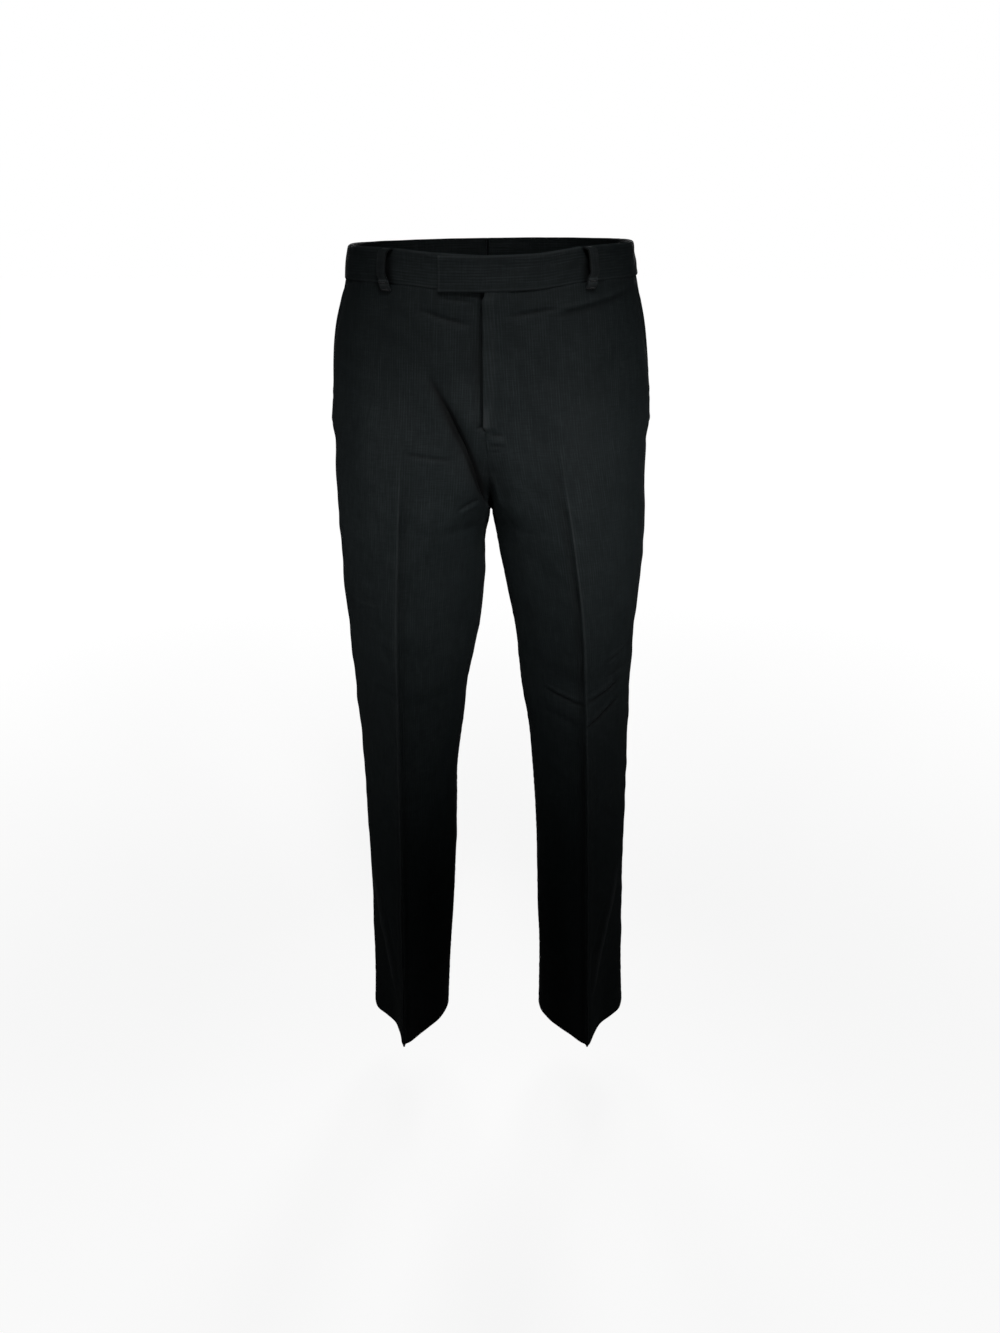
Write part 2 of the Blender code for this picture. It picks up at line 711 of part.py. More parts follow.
def add_belt_loop(name, side, turn, collection):
    """A strap that stands off the band, held at the band's top edge and just below its seam."""
    top = waist_line(side, turn) + BAND_HEIGHT / 2
    middle = facing(side, turn, 0.0).normalized()
    across = Vector((0, 0, 1)).cross(middle).normalized()
    outer, inner = [], []
    for down, clear in LOOP_PROFILE.rows:
        z = top - down
        base = bare(side, turn, z)
        lift = BAND_PROUD + clear
        outer_row, inner_row = [], []
        for reach in (-0.5, 0.5):
            point = base + across * LOOP_WIDTH * reach
            inner_row.append(point + middle * lift)
            outer_row.append(point + middle * (lift + LOOP_CLOTH))
        outer.append(outer_row)
        inner.append(inner_row)
    wall(name, outer, inner, LOOP_COLOUR, collection)


def add_belt_loops(collection):
    places = [(side, turn_at_x(side, x, 0.0)) for side, x in LOOP_X.items()]
    places += [(side, turn) for turn in LOOP_TURNS for side in ("right", "left")]
    places.append(("left", 1.0))
    for number, (side, turn) in enumerate(places, start=1):
        add_belt_loop(f"belt_loop_{number}", side, turn, collection)


for old in list(bpy.data.objects):
    bpy.data.objects.remove(old)

trousers = bpy.data.collections.new("dress_trousers")
bpy.context.scene.collection.children.link(trousers)
for wearer_side in ("right", "left"):
    add_front(wearer_side, trousers)
    add_back(wearer_side, trousers)
    add_bearer(wearer_side, trousers)
add_waistbands(trousers)
add_belt_loops(trousers)
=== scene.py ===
"""The looks of flat-front dress trousers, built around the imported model, in metres.

Each section makes one sewn piece, in the order a maker closes the garment: fronts, backs, pocket
bearers, waistband, belt loops, then the stage, the lamps and the camera.
"""

import json
import math

import bmesh
import bpy
import numpy as np
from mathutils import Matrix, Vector
from mathutils.bvhtree import BVHTree

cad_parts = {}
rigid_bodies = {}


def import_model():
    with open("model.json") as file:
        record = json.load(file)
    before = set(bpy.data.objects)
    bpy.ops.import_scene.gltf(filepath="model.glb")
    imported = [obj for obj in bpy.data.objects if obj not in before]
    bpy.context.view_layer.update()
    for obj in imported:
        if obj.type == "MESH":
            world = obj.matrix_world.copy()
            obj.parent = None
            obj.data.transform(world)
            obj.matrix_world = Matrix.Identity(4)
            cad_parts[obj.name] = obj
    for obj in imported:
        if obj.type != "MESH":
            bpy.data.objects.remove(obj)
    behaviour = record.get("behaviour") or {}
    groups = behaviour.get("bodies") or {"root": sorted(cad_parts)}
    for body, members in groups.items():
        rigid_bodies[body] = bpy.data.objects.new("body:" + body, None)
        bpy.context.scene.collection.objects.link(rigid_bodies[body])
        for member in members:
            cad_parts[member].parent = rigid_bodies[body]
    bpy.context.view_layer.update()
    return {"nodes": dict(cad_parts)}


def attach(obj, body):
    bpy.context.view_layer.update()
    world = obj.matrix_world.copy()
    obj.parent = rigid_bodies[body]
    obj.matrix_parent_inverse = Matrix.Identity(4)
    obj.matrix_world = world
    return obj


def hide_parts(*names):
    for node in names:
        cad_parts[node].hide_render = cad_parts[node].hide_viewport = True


for old in list(bpy.data.objects):
    bpy.data.objects.remove(old)
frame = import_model()

# Fronts.
# Two flat fronts of dark charcoal suiting, with its fine self stripe along the pressed crease.
# Each is one layer, doubled where it is turned under at its seams, the slanted pocket mouth and the
# hem; the left one ends in the fly's folded edge, which laps the right one.
WELD = 1e-5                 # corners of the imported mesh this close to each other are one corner
SUITING = 0.0009            # one layer of cloth
TURNING = 0.001             # what a layer turned under adds
SEAM_ALLOWANCE = 0.012
HEM_ALLOWANCE = 0.038
PANEL_WALL = 0.0015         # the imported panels' thickness
PANEL_COLUMNS = 13          # columns of points across a packed panel
CREASE_COLUMN = 6           # the column on the pressed crease
FORK_HEIGHT = -0.272        # where the inseams and the rise seam meet

SUITING_COLOUR = (0.0052, 0.0074, 0.008)
STRIPE_COLOUR = (0.0128, 0.0168, 0.0177)
# the lighter colour of wear and of painted highlights
WEAR_AND_HIGHLIGHT_COLOUR = (0.029, 0.033, 0.0345)
PAINTED_SHADE_COLOUR = (0.001, 0.0012, 0.0013)       # painted shade, deep in a fold or under a lapped edge
STRIPE_PITCH = 0.0028
TWILL_PITCH = 0.0006

WALL_SLACK = 1.4            # a wall face has its other side within this many thicknesses
FLAT_TURN = 0.45            # cosine of the sharpest turn inside one side of a wall


def wall_rows(node, columns, thickness):
    """The outer face of a packed wall of cloth as rows of points, top row first."""
    mesh = bmesh.new()
    mesh.from_mesh(frame["nodes"][node].data)
    bmesh.ops.remove_doubles(mesh, verts=mesh.verts, dist=WELD)
    mesh.normal_update()
    tree = BVHTree.FromBMesh(mesh)
    thin = set()
    for face in mesh.faces:
        inside = face.calc_center_median() - face.normal * WELD
        depth = tree.ray_cast(inside, -face.normal)[3]
        if depth is not None and depth < WALL_SLACK * thickness:
            thin.add(face)
    while thin:
        growing, corners = [thin.pop()], set()
        while growing:
            face = growing.pop()
            corners.update(face.verts)
            beside = {
                other
                for edge in face.edges
                for other in edge.link_faces
                if other.normal.dot(face.normal) > FLAT_TURN
            }
            growing.extend(beside & thin)
            thin -= beside
        if len(corners) == len(mesh.verts) // 2:
            break
    sheets = [
        {face for face in mesh.faces if all((v in corners) == wanted for v in face.verts)}
        for wanted in (True, False)
    ]
    middle = sum(v.co.x for v in mesh.verts) / len(mesh.verts)

    def looks_out(sheet):
        total = 0.0
        for face in sheet:
            centre = face.calc_center_median()
            total += face.calc_area() * face.normal.dot(Vector((centre.x - middle, centre.y, 0)))
        return total

    outer = max(sheets, key=looks_out)
    beside = {}
    for face in outer:
        for edge in face.edges:
            if sum(other in outer for other in edge.link_faces) == 1:
                a, b = edge.verts
                beside.setdefault(a, []).append(b)
                beside.setdefault(b, []).append(a)
    shared = {v: sum(face in outer for face in v.link_faces) for v in beside}
    start = max((v for v in beside if shared[v] == 2), key=lambda v: v.co.z)
    for step in beside[start]:
        border = [start, step]
        for _ in range(len(beside) - 2):
            border.append(next(v for v in beside[border[-1]] if v != border[-2]))
        if shared[border[columns - 1]] == 1:
            break
    rows = [border[:columns]]
    for r in range(1, len(border) // 2 - columns + 2):
        row = [border[-r]]
        for c in range(columns - 1):
            above, here = rows[-1][c], row[c]
            edge = mesh.edges.get((above, here))
            behind = rows[-1][c - 1] if c else None
            thirds = [v for face in edge.link_faces if face in outer for v in face.verts]
            row.append(next(v for v in thirds if v not in (above, here, behind)))
        rows.append(row)
    points = np.array([[v.co[:] for v in row] for row in rows])
    mesh.free()
    return points


def run_lengths(points):
    """Mean distance along the first axis of a grid of points."""
    steps = np.linalg.norm(np.diff(points, axis=0), axis=2).mean(axis=1)
    return np.concatenate([[0.0], np.cumsum(steps)])


def cloth_lengths(surface, column):
    """Lengths across the cloth from each row's first point, and down one column, below zero."""
    steps = np.linalg.norm(np.diff(surface, axis=1), axis=2)
    u = np.concatenate([np.zeros((len(surface), 1)), np.cumsum(steps, axis=1)], axis=1)
    steps = np.linalg.norm(np.diff(surface[:, column], axis=0), axis=1)
    v = -np.concatenate([[0.0], np.cumsum(steps)])[:, None] * np.ones_like(u)
    return u, v


def follow(points, marks, places):
    """New rows at places, on a smooth surface through rows at marks that never overshoots them."""
    rises = np.diff(points, axis=0) / np.diff(marks)[:, None, None]
    slopes = np.gradient(points, marks, axis=0)
    least = 3 * np.minimum(abs(rises[:-1]), abs(rises[1:]))
    slopes[1:-1] = np.where(rises[:-1] * rises[1:] > 0, np.clip(slopes[1:-1], -least, least), 0)
    i = np.clip(np.searchsorted(marks, places, side="right") - 1, 0, len(marks) - 2)
    width = (marks[i + 1] - marks[i])[:, None, None]
    t = (places - marks[i])[:, None, None] / width
    return (
        points[i] * (1 + 2 * t) * (1 - t) ** 2
        + points[i + 1] * (3 - 2 * t) * t * t
        + width * (slopes[i] * t * (1 - t) ** 2 - slopes[i + 1] * (1 - t) * t * t)
    )


ROLLED_ROWS = (0.0004, 0.0009, 0.0017)      # from a turned edge to its first rows of points
ROLLED_END = 0.003


def spread(start, end, step):
    """Places from start to end about a step apart, closer at both ends where an edge is rolled."""
    count = max(2, round((end - start) / step))
    inner = np.linspace(start + ROLLED_END, end - ROLLED_END, count)
    lead, tail = [start + gap for gap in ROLLED_ROWS], [end - gap for gap in ROLLED_ROWS[::-1]]
    return np.concatenate([[start], lead, inner, tail, [end]])


def normals_of(points):
    """Outward unit normals of a grid whose rows go down; outward is away from the leg's middle."""
    down, across = np.gradient(points, axis=0), np.gradient(points, axis=1)
    normals = np.cross(down, across)
    normals /= np.maximum(np.linalg.norm(normals, axis=2, keepdims=True), 1e-12)
    middle = np.array([points[..., 0].mean(), 0.0, 0.0])
    away = ((points - middle) * normals)[..., :2].sum()
    return normals if away > 0 else -normals


def ease(t):
    """From 0 to 1, with a soft start and end."""
    t = np.clip(t, 0.0, 1.0)
    return t * t * (3 - 2 * t)


def bell(away, width):
    """1 where away is 0, fading on both sides within about two widths."""
    return np.exp(-((away / width) ** 2))


def near(away, reach):
    """1 at an edge, fading to 0 at its reach."""
    return 1 - ease(away / reach)


def turned_edge(away, dip, reach):
    """How far cloth falls at an edge that is turned under: the dip there, and 0 at its reach."""
    return dip * np.clip(1 - away / reach, 0, 1) ** 2


def smooth_rows(points):
    """Draws each row but the first and last halfway to the mean of its neighbours."""
    points[1:-1] = 0.25 * points[:-2] + 0.5 * points[1:-1] + 0.25 * points[2:]


WAVES = 7
USUAL_PEAK = 0.75           # brings that many waves together to about 1


def wander(points, size, seed):
    """Slow uneven values between about -1 and 1 over a grid of points, the same in each run."""
    random = np.random.default_rng(seed)
    total = np.zeros(points.shape[:2])
    for _ in range(WAVES):
        direction = random.normal(size=3)
        direction *= 2 * math.pi / size * random.uniform(0.6, 1.5) / np.linalg.norm(direction)
        total += np.sin(points @ direction + random.uniform(0, 2 * math.pi))
    return total / WAVES**0.5 / USUAL_PEAK


# Creases, listed one by one.  Each runs between two places seen from its side; bow is how far its
# middle swings across, width how fast it fades, depth its height (below zero a trough), and pinch
# how soft it is: 1 is a sharp fold, 2 a soft one.
NARROW_FOLD = 5.0           # millimetres
FRONT_FOLDS = (
    # x, z, end x, end z, bow, width, depth, all in millimetres, and pinch
    (-70, -94, -34, -172, 4, 4.5, -2.8, 1.3),
    (-56, -118, -1, -254, 5, 3, -7.4, 1.0),
    (-72, -115, -34, -196, 4, 12, 1.5, 2.0),
    (-46, -112, -12, -196, 3, 11, 1.2, 2.0),
    (-98, -180, -36, -189.2, -1, 1.4, -2.1, 1.1),
    (-90, -185, -42, -193, -1, 3, 0.4, 2.0),
    (-40, -249, -11, -232.5, 1, 1.6, -1.8, 1.2),
    (-36, -253, -10, -238, 1, 3, 0.9, 2.0),
    (-78, -33.5, -14, -51.5, -2, 1.6, -2.4, 1.0),
    (-74, -39.5, -16, -57, -2, 4.2, 0.3, 2.0),
    (-58, -24, -13, -29, 0, 1.8, -1.5, 1.2),
    (10, -43.5, 82, -34.5, 1, 1.4, -2.4, 1.0),
    (46, -39.5, 158, -16.5, -2, 2.8, 1.6, 1.6),
    (56, -44, 160, -21, -2, 4, -1.3, 1.8),
    (2, -50, 66, -44, 1, 6, 0.5, 2.0),
    (-2, -161.5, 16, -162.5, 1, 1.2, -1.8, 1.1),
    (-3, -167.2, 18, -168.5, -1, 2, 0.7, 1.7),
    (-3, -173.5, 18, -174, 1, 1.2, -1.8, 1.1),
    (-2, -180, 13, -179.5, 1, 1.2, -1.3, 1.1),
    (3, -170, 24, -320, -4, 11, -4, 2.0),
    (1, -200, 14, -256, -2, 4, 2, 1.6),
    (-164, -362.5, -118, -360.5, 1, 2, 0.9, 1.6),
    (-162, -357.5, -122, -356, 1, 3, -0.7, 2.0),
    (108, -376.5, 170, -367.5, 2, 2, 0.8, 1.6),
    (106, -517, 158, -488, -3, 2.2, -3.8, 1.1),
    (106, -511, 150, -485, -3, 3.4, 1.6, 1.8),
    (106, -484, 160, -463.5, -2, 2.2, -3.2, 1.1),
    (106, -478.5, 150, -460.5, -2, 3.2, 1.4, 1.8),
    (58, -473, 116, -487, -2, 2, -2.6, 1.1),
    (58, -468, 114, -482.5, -2, 2.6, 1.7, 1.7),
    (126, -438.5, 170, -423, 1, 1.8, -1.3, 1.4),
    (130, -433.5, 164, -420, 1, 2.6, 0.8, 1.8),
    (128, -457, 170, -449, 1, 1.8, -1.2, 1.4),
    (56, -506, 110, -519, 2, 6, -1.2, 2.0),
    (-144, -469, -104, -479, 1, 5, -0.8, 2.0),
    (-96, -496, -50, -482, 2, 7, -1.2, 2.0),
    (-169, -720, -129, -970, 3, 2.8, 3, 1.4),
    (173, -720, 130, -964, -3, 2.8, 3, 1.4),
    (-161, -740, -124, -950, 3, 5, -1.6, 2.0),
    (165, -740, 124, -945, -3, 5, -1.6, 2.0),
)
FOLD_WIDTH = 5              # its place in a fold's row
FOLD_FADE = 0.35            # share of a fold's length over which each end fades
FOLD_TOP = 0.0001           # roundness of the sharpest fold
# Painted highlight on the tops of narrow folds and painted shade in their troughs, and the lift at
# which each is full.
RIDGE_TONE, FULL_RIDGE = 0.34, 0.0025
TROUGH_TONE, FULL_TROUGH = 0.85, 0.0028


def fold_height(points, folds):
    """How far the folds of one side of the garment lift each point of a grid."""
    x, z = points[..., 0], points[..., 2]
    lift = np.zeros(x.shape)
    for *measures, pinch in folds:
        start_x, start_z, end_x, end_z, bow, width, depth = (size / 1000 for size in measures)
        run = math.hypot(end_x - start_x, end_z - start_z)
        along_x, along_z = (end_x - start_x) / run, (end_z - start_z) / run
        part = ((x - start_x) * along_x + (z - start_z) * along_z) / run
        clipped = np.clip(part, 0, 1)
        across = (z - start_z) * along_x - (x - start_x) * along_z
        across = across - 4 * bow * clipped * (1 - clipped)
        beyond = (part - clipped) * run
        away = np.sqrt(across**2 + beyond**2 + FOLD_TOP**2)
        fade = ease(part / FOLD_FADE) * ease((1 - part) / FOLD_FADE)
        lift += depth * fade * np.exp(-((away / width) ** pinch))
    return lift


def fold_tone(points, folds):
    """Painted highlight above 0 on the top of each narrow fold, and painted shade below 0 in its
    trough.
    """
    lift = fold_height(points, [fold for fold in folds if fold[FOLD_WIDTH] < NARROW_FOLD])
    painted_light_and_wear = RIDGE_TONE * np.clip(lift / FULL_RIDGE, 0, 1) ** 1.5
    return painted_light_and_wear - TROUGH_TONE * np.clip(-lift / FULL_TROUGH, 0, 1) ** 1.2


CREASE_TOP, CREASE_FADE = -0.15, 0.12       # the pressed crease comes in below the hips
CREASE_RIDGE = 0.0015, 0.0015               # its height and width
CREASE_HOLLOW = 0.0013, 0.0052, 0.0036      # depth, place and width of the hollow toward the inseam
CREASE_SHOULDER = 0.0008, -0.006, 0.0055    # height, place and width of the rise on the other side
SLACK_SEED, RIPPLE_SEED, CREASE_SEED = 11, 12, 13


def pressed_part(height):
    """How well the crease is pressed at each height: not at the waist, and fully on the thigh."""
    return ease((CREASE_TOP - height) / CREASE_FADE)


def cloth_relief(points, u, inward):
    """Small unevenness, and the pressed crease: a ridge with a hollow on the inseam's side."""
    slack = 0.00055 * wander(points, 0.075, SLACK_SEED)
    lift = slack + 0.00018 * wander(points, 0.026, RIPPLE_SEED)
    uneven = 1 + 0.35 * wander(points * (0.2, 0.2, 1.0), 0.06, CREASE_SEED)
    height, width = CREASE_RIDGE
    knife = height * np.exp(-abs(u) / width)
    depth, place, width = CREASE_HOLLOW
    knife -= depth * bell(inward - place, width)
    height, place, width = CREASE_SHOULDER
    knife += height * bell(inward - place, width)
    return lift + pressed_part(points[..., 2]) * uneven * knife


MOUTH_FOOT = -0.186         # where the slanted pocket mouth ends in the side seam
MOUTH_STEP = 0.0013, 0.024, -0.171          # height, reach and place of the bulge above it


def pocket_foot(to_seam, height):
    """The bulge beside a pocket mouth, which ends in a short step just above the mouth's foot."""
    bulge, reach, place = MOUTH_STEP
    step = bell(height - place, 0.007) - bell(height - MOUTH_FOOT, 0.005)
    return bulge * step * bell(to_seam, reach)


PUCKERS = (0.011, 0.0163, 0.024)            # lengths of the waves that a sewn seam draws up
SIDE_SEAM, INNER_SEAM, WAIST_SEAM, DART_SEAM = 15, 17, 19, 21       # seeds of the puckers


def sewn_edge(distance, run, seed):
    """The dip and faint pucker along a sewn seam at a distance from it; run is the way along it."""
    random = np.random.default_rng(seed)
    pucker = sum(np.sin(2 * math.pi * run / wave + random.uniform(0, 6.3)) for wave in PUCKERS)
    dip = turned_edge(distance, 0.0007, 0.0016) + 0.0004 * bell(distance, 0.006)
    return 0.0001 * pucker * bell(distance, 0.009) - dip


def grid_cells(numbers):
    """The four corners of each cell of a grid of numbered points."""
    corners = [numbers[:-1, :-1], numbers[1:, :-1], numbers[1:, 1:], numbers[:-1, 1:]]
    return np.stack([corner.ravel() for corner in corners], axis=1)


PLAIN_PASSES = 12           # of smoothing, which leave a panel without its folds


def behind_folds(outer, inner):
    """Sinks each point of the inner side as far as its neighbours lie behind it, so that a coarser
    grid of that side still passes behind every fold."""
    rows, columns = inner.shape[:2]
    plain = outer.copy()
    for _ in range(PLAIN_PASSES):
        smooth_rows(plain)
        smooth_rows(plain.transpose(1, 0, 2))
    normals = normals_of(plain)
    around = np.pad(inner, ((1, 1), (1, 1), (0, 0)), mode="edge")
    sink = np.zeros((rows, columns))
    for r in range(3):
        for c in range(3):
            near = around[r : r + rows, c : c + columns]
            sink = np.minimum(sink, ((near - inner) * normals).sum(axis=2))
    sink[[0, -1]] = 0
    sink[:, [0, -1]] = 0
    return inner + normals * sink[..., None]


def new_piece(name, mesh, finish):
    mesh.materials.append(finish)
    mesh.shade_smooth()
    piece = bpy.data.objects.new(name, mesh)
    bpy.context.scene.collection.objects.link(piece)
    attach(piece, "root")
    return piece


def cloth_piece(node, outer, inner, u, v, finish, wear_and_painted_light, inner_step=1):
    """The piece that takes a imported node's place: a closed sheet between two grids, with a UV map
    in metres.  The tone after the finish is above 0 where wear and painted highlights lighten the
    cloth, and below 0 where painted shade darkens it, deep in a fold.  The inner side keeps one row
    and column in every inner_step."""
    rows, columns = u.shape
    numbers = np.arange(rows * columns).reshape(rows, columns)
    kept = np.ix_(
        np.unique(np.append(np.arange(0, rows, inner_step), rows - 1)),
        np.unique(np.append(np.arange(0, columns, inner_step), columns - 1)),
    )
    behind = np.full((rows, columns), -1)
    behind[kept] = rows * columns + np.arange(numbers[kept].size).reshape(numbers[kept].shape)
    sides = (numbers[0], numbers[1:, -1], numbers[-1, -2::-1], numbers[-2:0:-1, 0], numbers[0, :1])
    border = np.concatenate(sides).tolist()
    rim, run = [], border[:1]
    for point in border[1:]:
        run.append(point)
        if behind.flat[point] >= 0:
            rim.append(run[::-1] + [int(behind.flat[run[0]]), int(behind.flat[point])])
            run = [point]
    if inner_step > 1:
        inner = behind_folds(outer, inner)
    name = node + "_cloth"
    mesh = bpy.data.meshes.new(name)
    places = np.concatenate([outer.reshape(-1, 3), inner[kept].reshape(-1, 3)])
    back_cells = grid_cells(behind[kept])[:, ::-1]
    mesh.from_pydata(places.tolist(), [], grid_cells(numbers).tolist() + back_cells.tolist() + rim)
    flat = np.stack([u, v], axis=2)
    flat = np.concatenate([flat.reshape(-1, 2), flat[kept].reshape(-1, 2)])
    corner_of = np.zeros(len(mesh.loops), np.int32)
    mesh.loops.foreach_get("vertex_index", corner_of)
    layer = mesh.uv_layers.new(name="cloth")
    layer.data.foreach_set("uv", flat[corner_of].astype(np.float32).ravel())
    tone = np.append(wear_and_painted_light.ravel(), 0 * wear_and_painted_light[kept].ravel())
    painted_light_and_wear = mesh.attributes.new("wear_and_painted_light", "FLOAT", "POINT")
    painted_light_and_wear.data.foreach_set("value", tone.astype(np.float32))
    work = bmesh.new()
    work.from_mesh(mesh)
    if work.calc_volume(signed=True) < 0:
        bmesh.ops.reverse_faces(work, faces=work.faces)
    work.to_mesh(mesh)
    work.free()
    piece = new_piece(name, mesh, finish)
    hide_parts(node)
    return piece


def set_inputs(node, values):
    for socket, value in values.items():
        node.inputs[socket].default_value = value


def new_node(nodes, kind, values):
    """A new shader node of a kind, with these values on its sockets."""
    made = nodes.new("ShaderNode" + kind)
    set_inputs(made, values)
    return made


def new_finish(name, looks):
    """A finish with these values on its shader; its nodes, the way to link them, and the shader."""
    finish = bpy.data.materials.new(name)
    finish.use_nodes = True
    tree = finish.node_tree
    shader = tree.nodes["Principled BSDF"]
    set_inputs(shader, looks)
    return finish, tree.nodes, tree.links.new, shader


def mixed(nodes, link, first, over, share):
    """A colour mixed over a first one, which is a colour or a node's output, by a share."""
    made = nodes.new("ShaderNodeMix")
    made.data_type = "RGBA"
    if isinstance(first, tuple):
        made.inputs["A"].default_value = (*first, 1.0)
    else:
        link(first, made.inputs["A"])
    made.inputs["B"].default_value = (*over, 1.0)
    link(share, made.inputs["Factor"])
    return made.outputs["Result"]


def bumped(nodes, link, height, strength, depth):
    made = new_node(nodes, "Bump", {"Strength": strength, "Distance": depth})
    link(height, made.inputs["Height"])
    return made.outputs["Normal"]


SUITING_LOOKS = {
    "Roughness": 0.72,
    "Specular IOR Level": 0.1,
    "Sheen Weight": 0.015,
    "Sheen Roughness": 0.4,
    "Sheen Tint": (0.8, 0.9, 1.0, 1.0),
}
SLUBS, LIGHT_AND_WEAR_PATCHES = (210.0, 26.0), (160.0, 60.0)          # how often across and along, to a metre
WARP_YARNS, WEFT_YARNS = (1500.0, 60.0), (70.0, 1300.0)
CLOUDS = (14.0, 9.0)
WARP_TONE, WEFT_TONE, CLOUD_TONE = 0.28, 0.22, 0.18
STRIPE_SHARE, GROUND_SHARE = 0.62, 0.1      # of the stripe's colour, in a stripe and between two
WARP_RELIEF, WEFT_RELIEF = 1.6, 1.2
WEAVE_BUMP, WEAVE_DEPTH = 0.35, 0.00012
WAVE_SCALE = 2 * math.pi / 20               # the Wave texture's own scale for one band a metre


def suiting(node, along, seed, colour=SUITING_COLOUR, stripe=STRIPE_COLOUR):
    """A piece's suiting: fine self stripe, slubs and twill bump; along is the warp's UV axis."""
    finish, nodes, link, shader = new_finish(node + "_suiting", SUITING_LOOKS)
    cloth = nodes.new("ShaderNodeUVMap")
    cloth.uv_map = "cloth"
    turned = nodes.new("ShaderNodeMapping")
    turned.inputs["Rotation"].default_value[2] = 0.0 if along == "v" else math.pi / 2
    link(cloth.outputs["UV"], turned.inputs["Vector"])

    def noise(often, detail):
        start = (seed * 0.37, seed * 0.53, seed * 0.11)
        mapping = new_node(nodes, "Mapping", {"Location": start, "Scale": (*often, 1.0)})
        link(turned.outputs["Vector"], mapping.inputs["Vector"])
        made = new_node(nodes, "TexNoise", {"Scale": 1.0, "Detail": detail})
        link(mapping.outputs["Vector"], made.inputs["Vector"])
        return made.outputs["Fac"]

    def ranged(value, low, high, to_low, to_high):
        ends = {"From Min": low, "From Max": high, "To Min": to_low, "To Max": to_high}
        made = new_node(nodes, "MapRange", ends)
        link(value, made.inputs["Value"])
        return made.outputs["Result"]

    def both_ways(often, detail, tone):
        return ranged(noise(often, detail), 0.3, 0.7, -tone, tone)

    def combined(operation, first, second):
        made = nodes.new("ShaderNodeMath")
        made.operation = operation
        for value, socket in zip((first, second), made.inputs):
            if isinstance(value, float):
                socket.default_value = value
            else:
                link(value, socket)
        return made.outputs["Value"]

    def ribs(pitch, direction):
        made = new_node(nodes, "TexWave", {"Scale": WAVE_SCALE / pitch})
        made.bands_direction = direction
        link(turned.outputs["Vector"], made.inputs["Vector"])
        return made

    fine_stripe = ribs(STRIPE_PITCH, "X")
    fine_stripe.inputs["Detail"].default_value = 0.0
    stripes = ranged(fine_stripe.outputs["Fac"], 0.55, 1.0, 0.0, 1.0)
    broken = ranged(noise(SLUBS, 2.0), 0.38, 0.62, 0.15, 1.0)
    warp, weft = both_ways(WARP_YARNS, 1.0, WARP_TONE), both_ways(WEFT_YARNS, 1.0, WEFT_TONE)
    cloudy = both_ways(CLOUDS, 3.0, CLOUD_TONE)
    level = combined("MULTIPLY", combined("MULTIPLY", stripes, broken), STRIPE_SHARE)
    level = combined("ADD", level, GROUND_SHARE)
    level = combined("ADD", level, combined("ADD", warp, weft))
    level = combined("ADD", level, cloudy)
    # The tone from the mesh: above 0 it mixes in, in patches, the colour of wear and painted
    # highlights; below 0 it mixes in painted shade.
    wear_and_painted_light = nodes.new("ShaderNodeAttribute")
    wear_and_painted_light.attribute_name = "wear_and_painted_light"
    patchy = ranged(noise(LIGHT_AND_WEAR_PATCHES, 2.0), 0.3, 0.7, 0.65, 1.0)
    painted_light_and_wear = combined("MULTIPLY", wear_and_painted_light.outputs["Fac"], patchy)
    deep = combined("MULTIPLY", wear_and_painted_light.outputs["Fac"], -1.0)
    shade = mixed(nodes, link, colour, stripe, level)
    shade = mixed(nodes, link, shade, WEAR_AND_HIGHLIGHT_COLOUR, painted_light_and_wear)
    shade = mixed(nodes, link, shade, PAINTED_SHADE_COLOUR, deep)
    link(shade, shader.inputs["Base Color"])
    twill = ribs(TWILL_PITCH, "DIAGONAL")
    twill.inputs["Distortion"].default_value = 0.6
    yarns = combined("ADD", twill.outputs["Fac"], combined("MULTIPLY", warp, WARP_RELIEF))
    yarns = combined("ADD", yarns, combined("MULTIPLY", weft, WEFT_RELIEF))
    link(bumped(nodes, link, yarns, WEAVE_BUMP, WEAVE_DEPTH), shader.inputs["Normal"])
    return finish


ROW_STEP, COLUMN_STEP = 0.0034, 0.0016
CLOSE_ROWS = ((0.0, 0.31, 0.0018), (0.42, 0.58, 0.0024))    # from, to, and the step there
CLOSE_FADE = 0.02
ROLLED_CLEAR = 0.0026       # the even rows keep this far from both ends
ROW_PASSES = 10             # of smoothing down a panel, which leave no corner at a packed row


def row_places(length):
    """Places down a panel, closer where it creases most: over the hips and at the knee."""
    ticks = np.linspace(0.0, length, 4000)
    step = np.full_like(ticks, ROW_STEP)
    for start, end, close in CLOSE_ROWS:
        inside = ease((ticks - start + CLOSE_FADE) / CLOSE_FADE)
        inside = inside * ease((end + CLOSE_FADE - ticks) / CLOSE_FADE)
        step -= (ROW_STEP - close) * inside
    count = np.concatenate([[0.0], np.cumsum(np.diff(ticks) / step[1:])])
    even = np.interp(np.linspace(0, count[-1], round(count[-1])), count, ticks)
    middle = even[(even > ROLLED_CLEAR) & (even < length - ROLLED_CLEAR)]
    tail = [length - gap for gap in ROLLED_ROWS[::-1]]
    return np.concatenate([[0.0], ROLLED_ROWS, middle, tail, [length]])


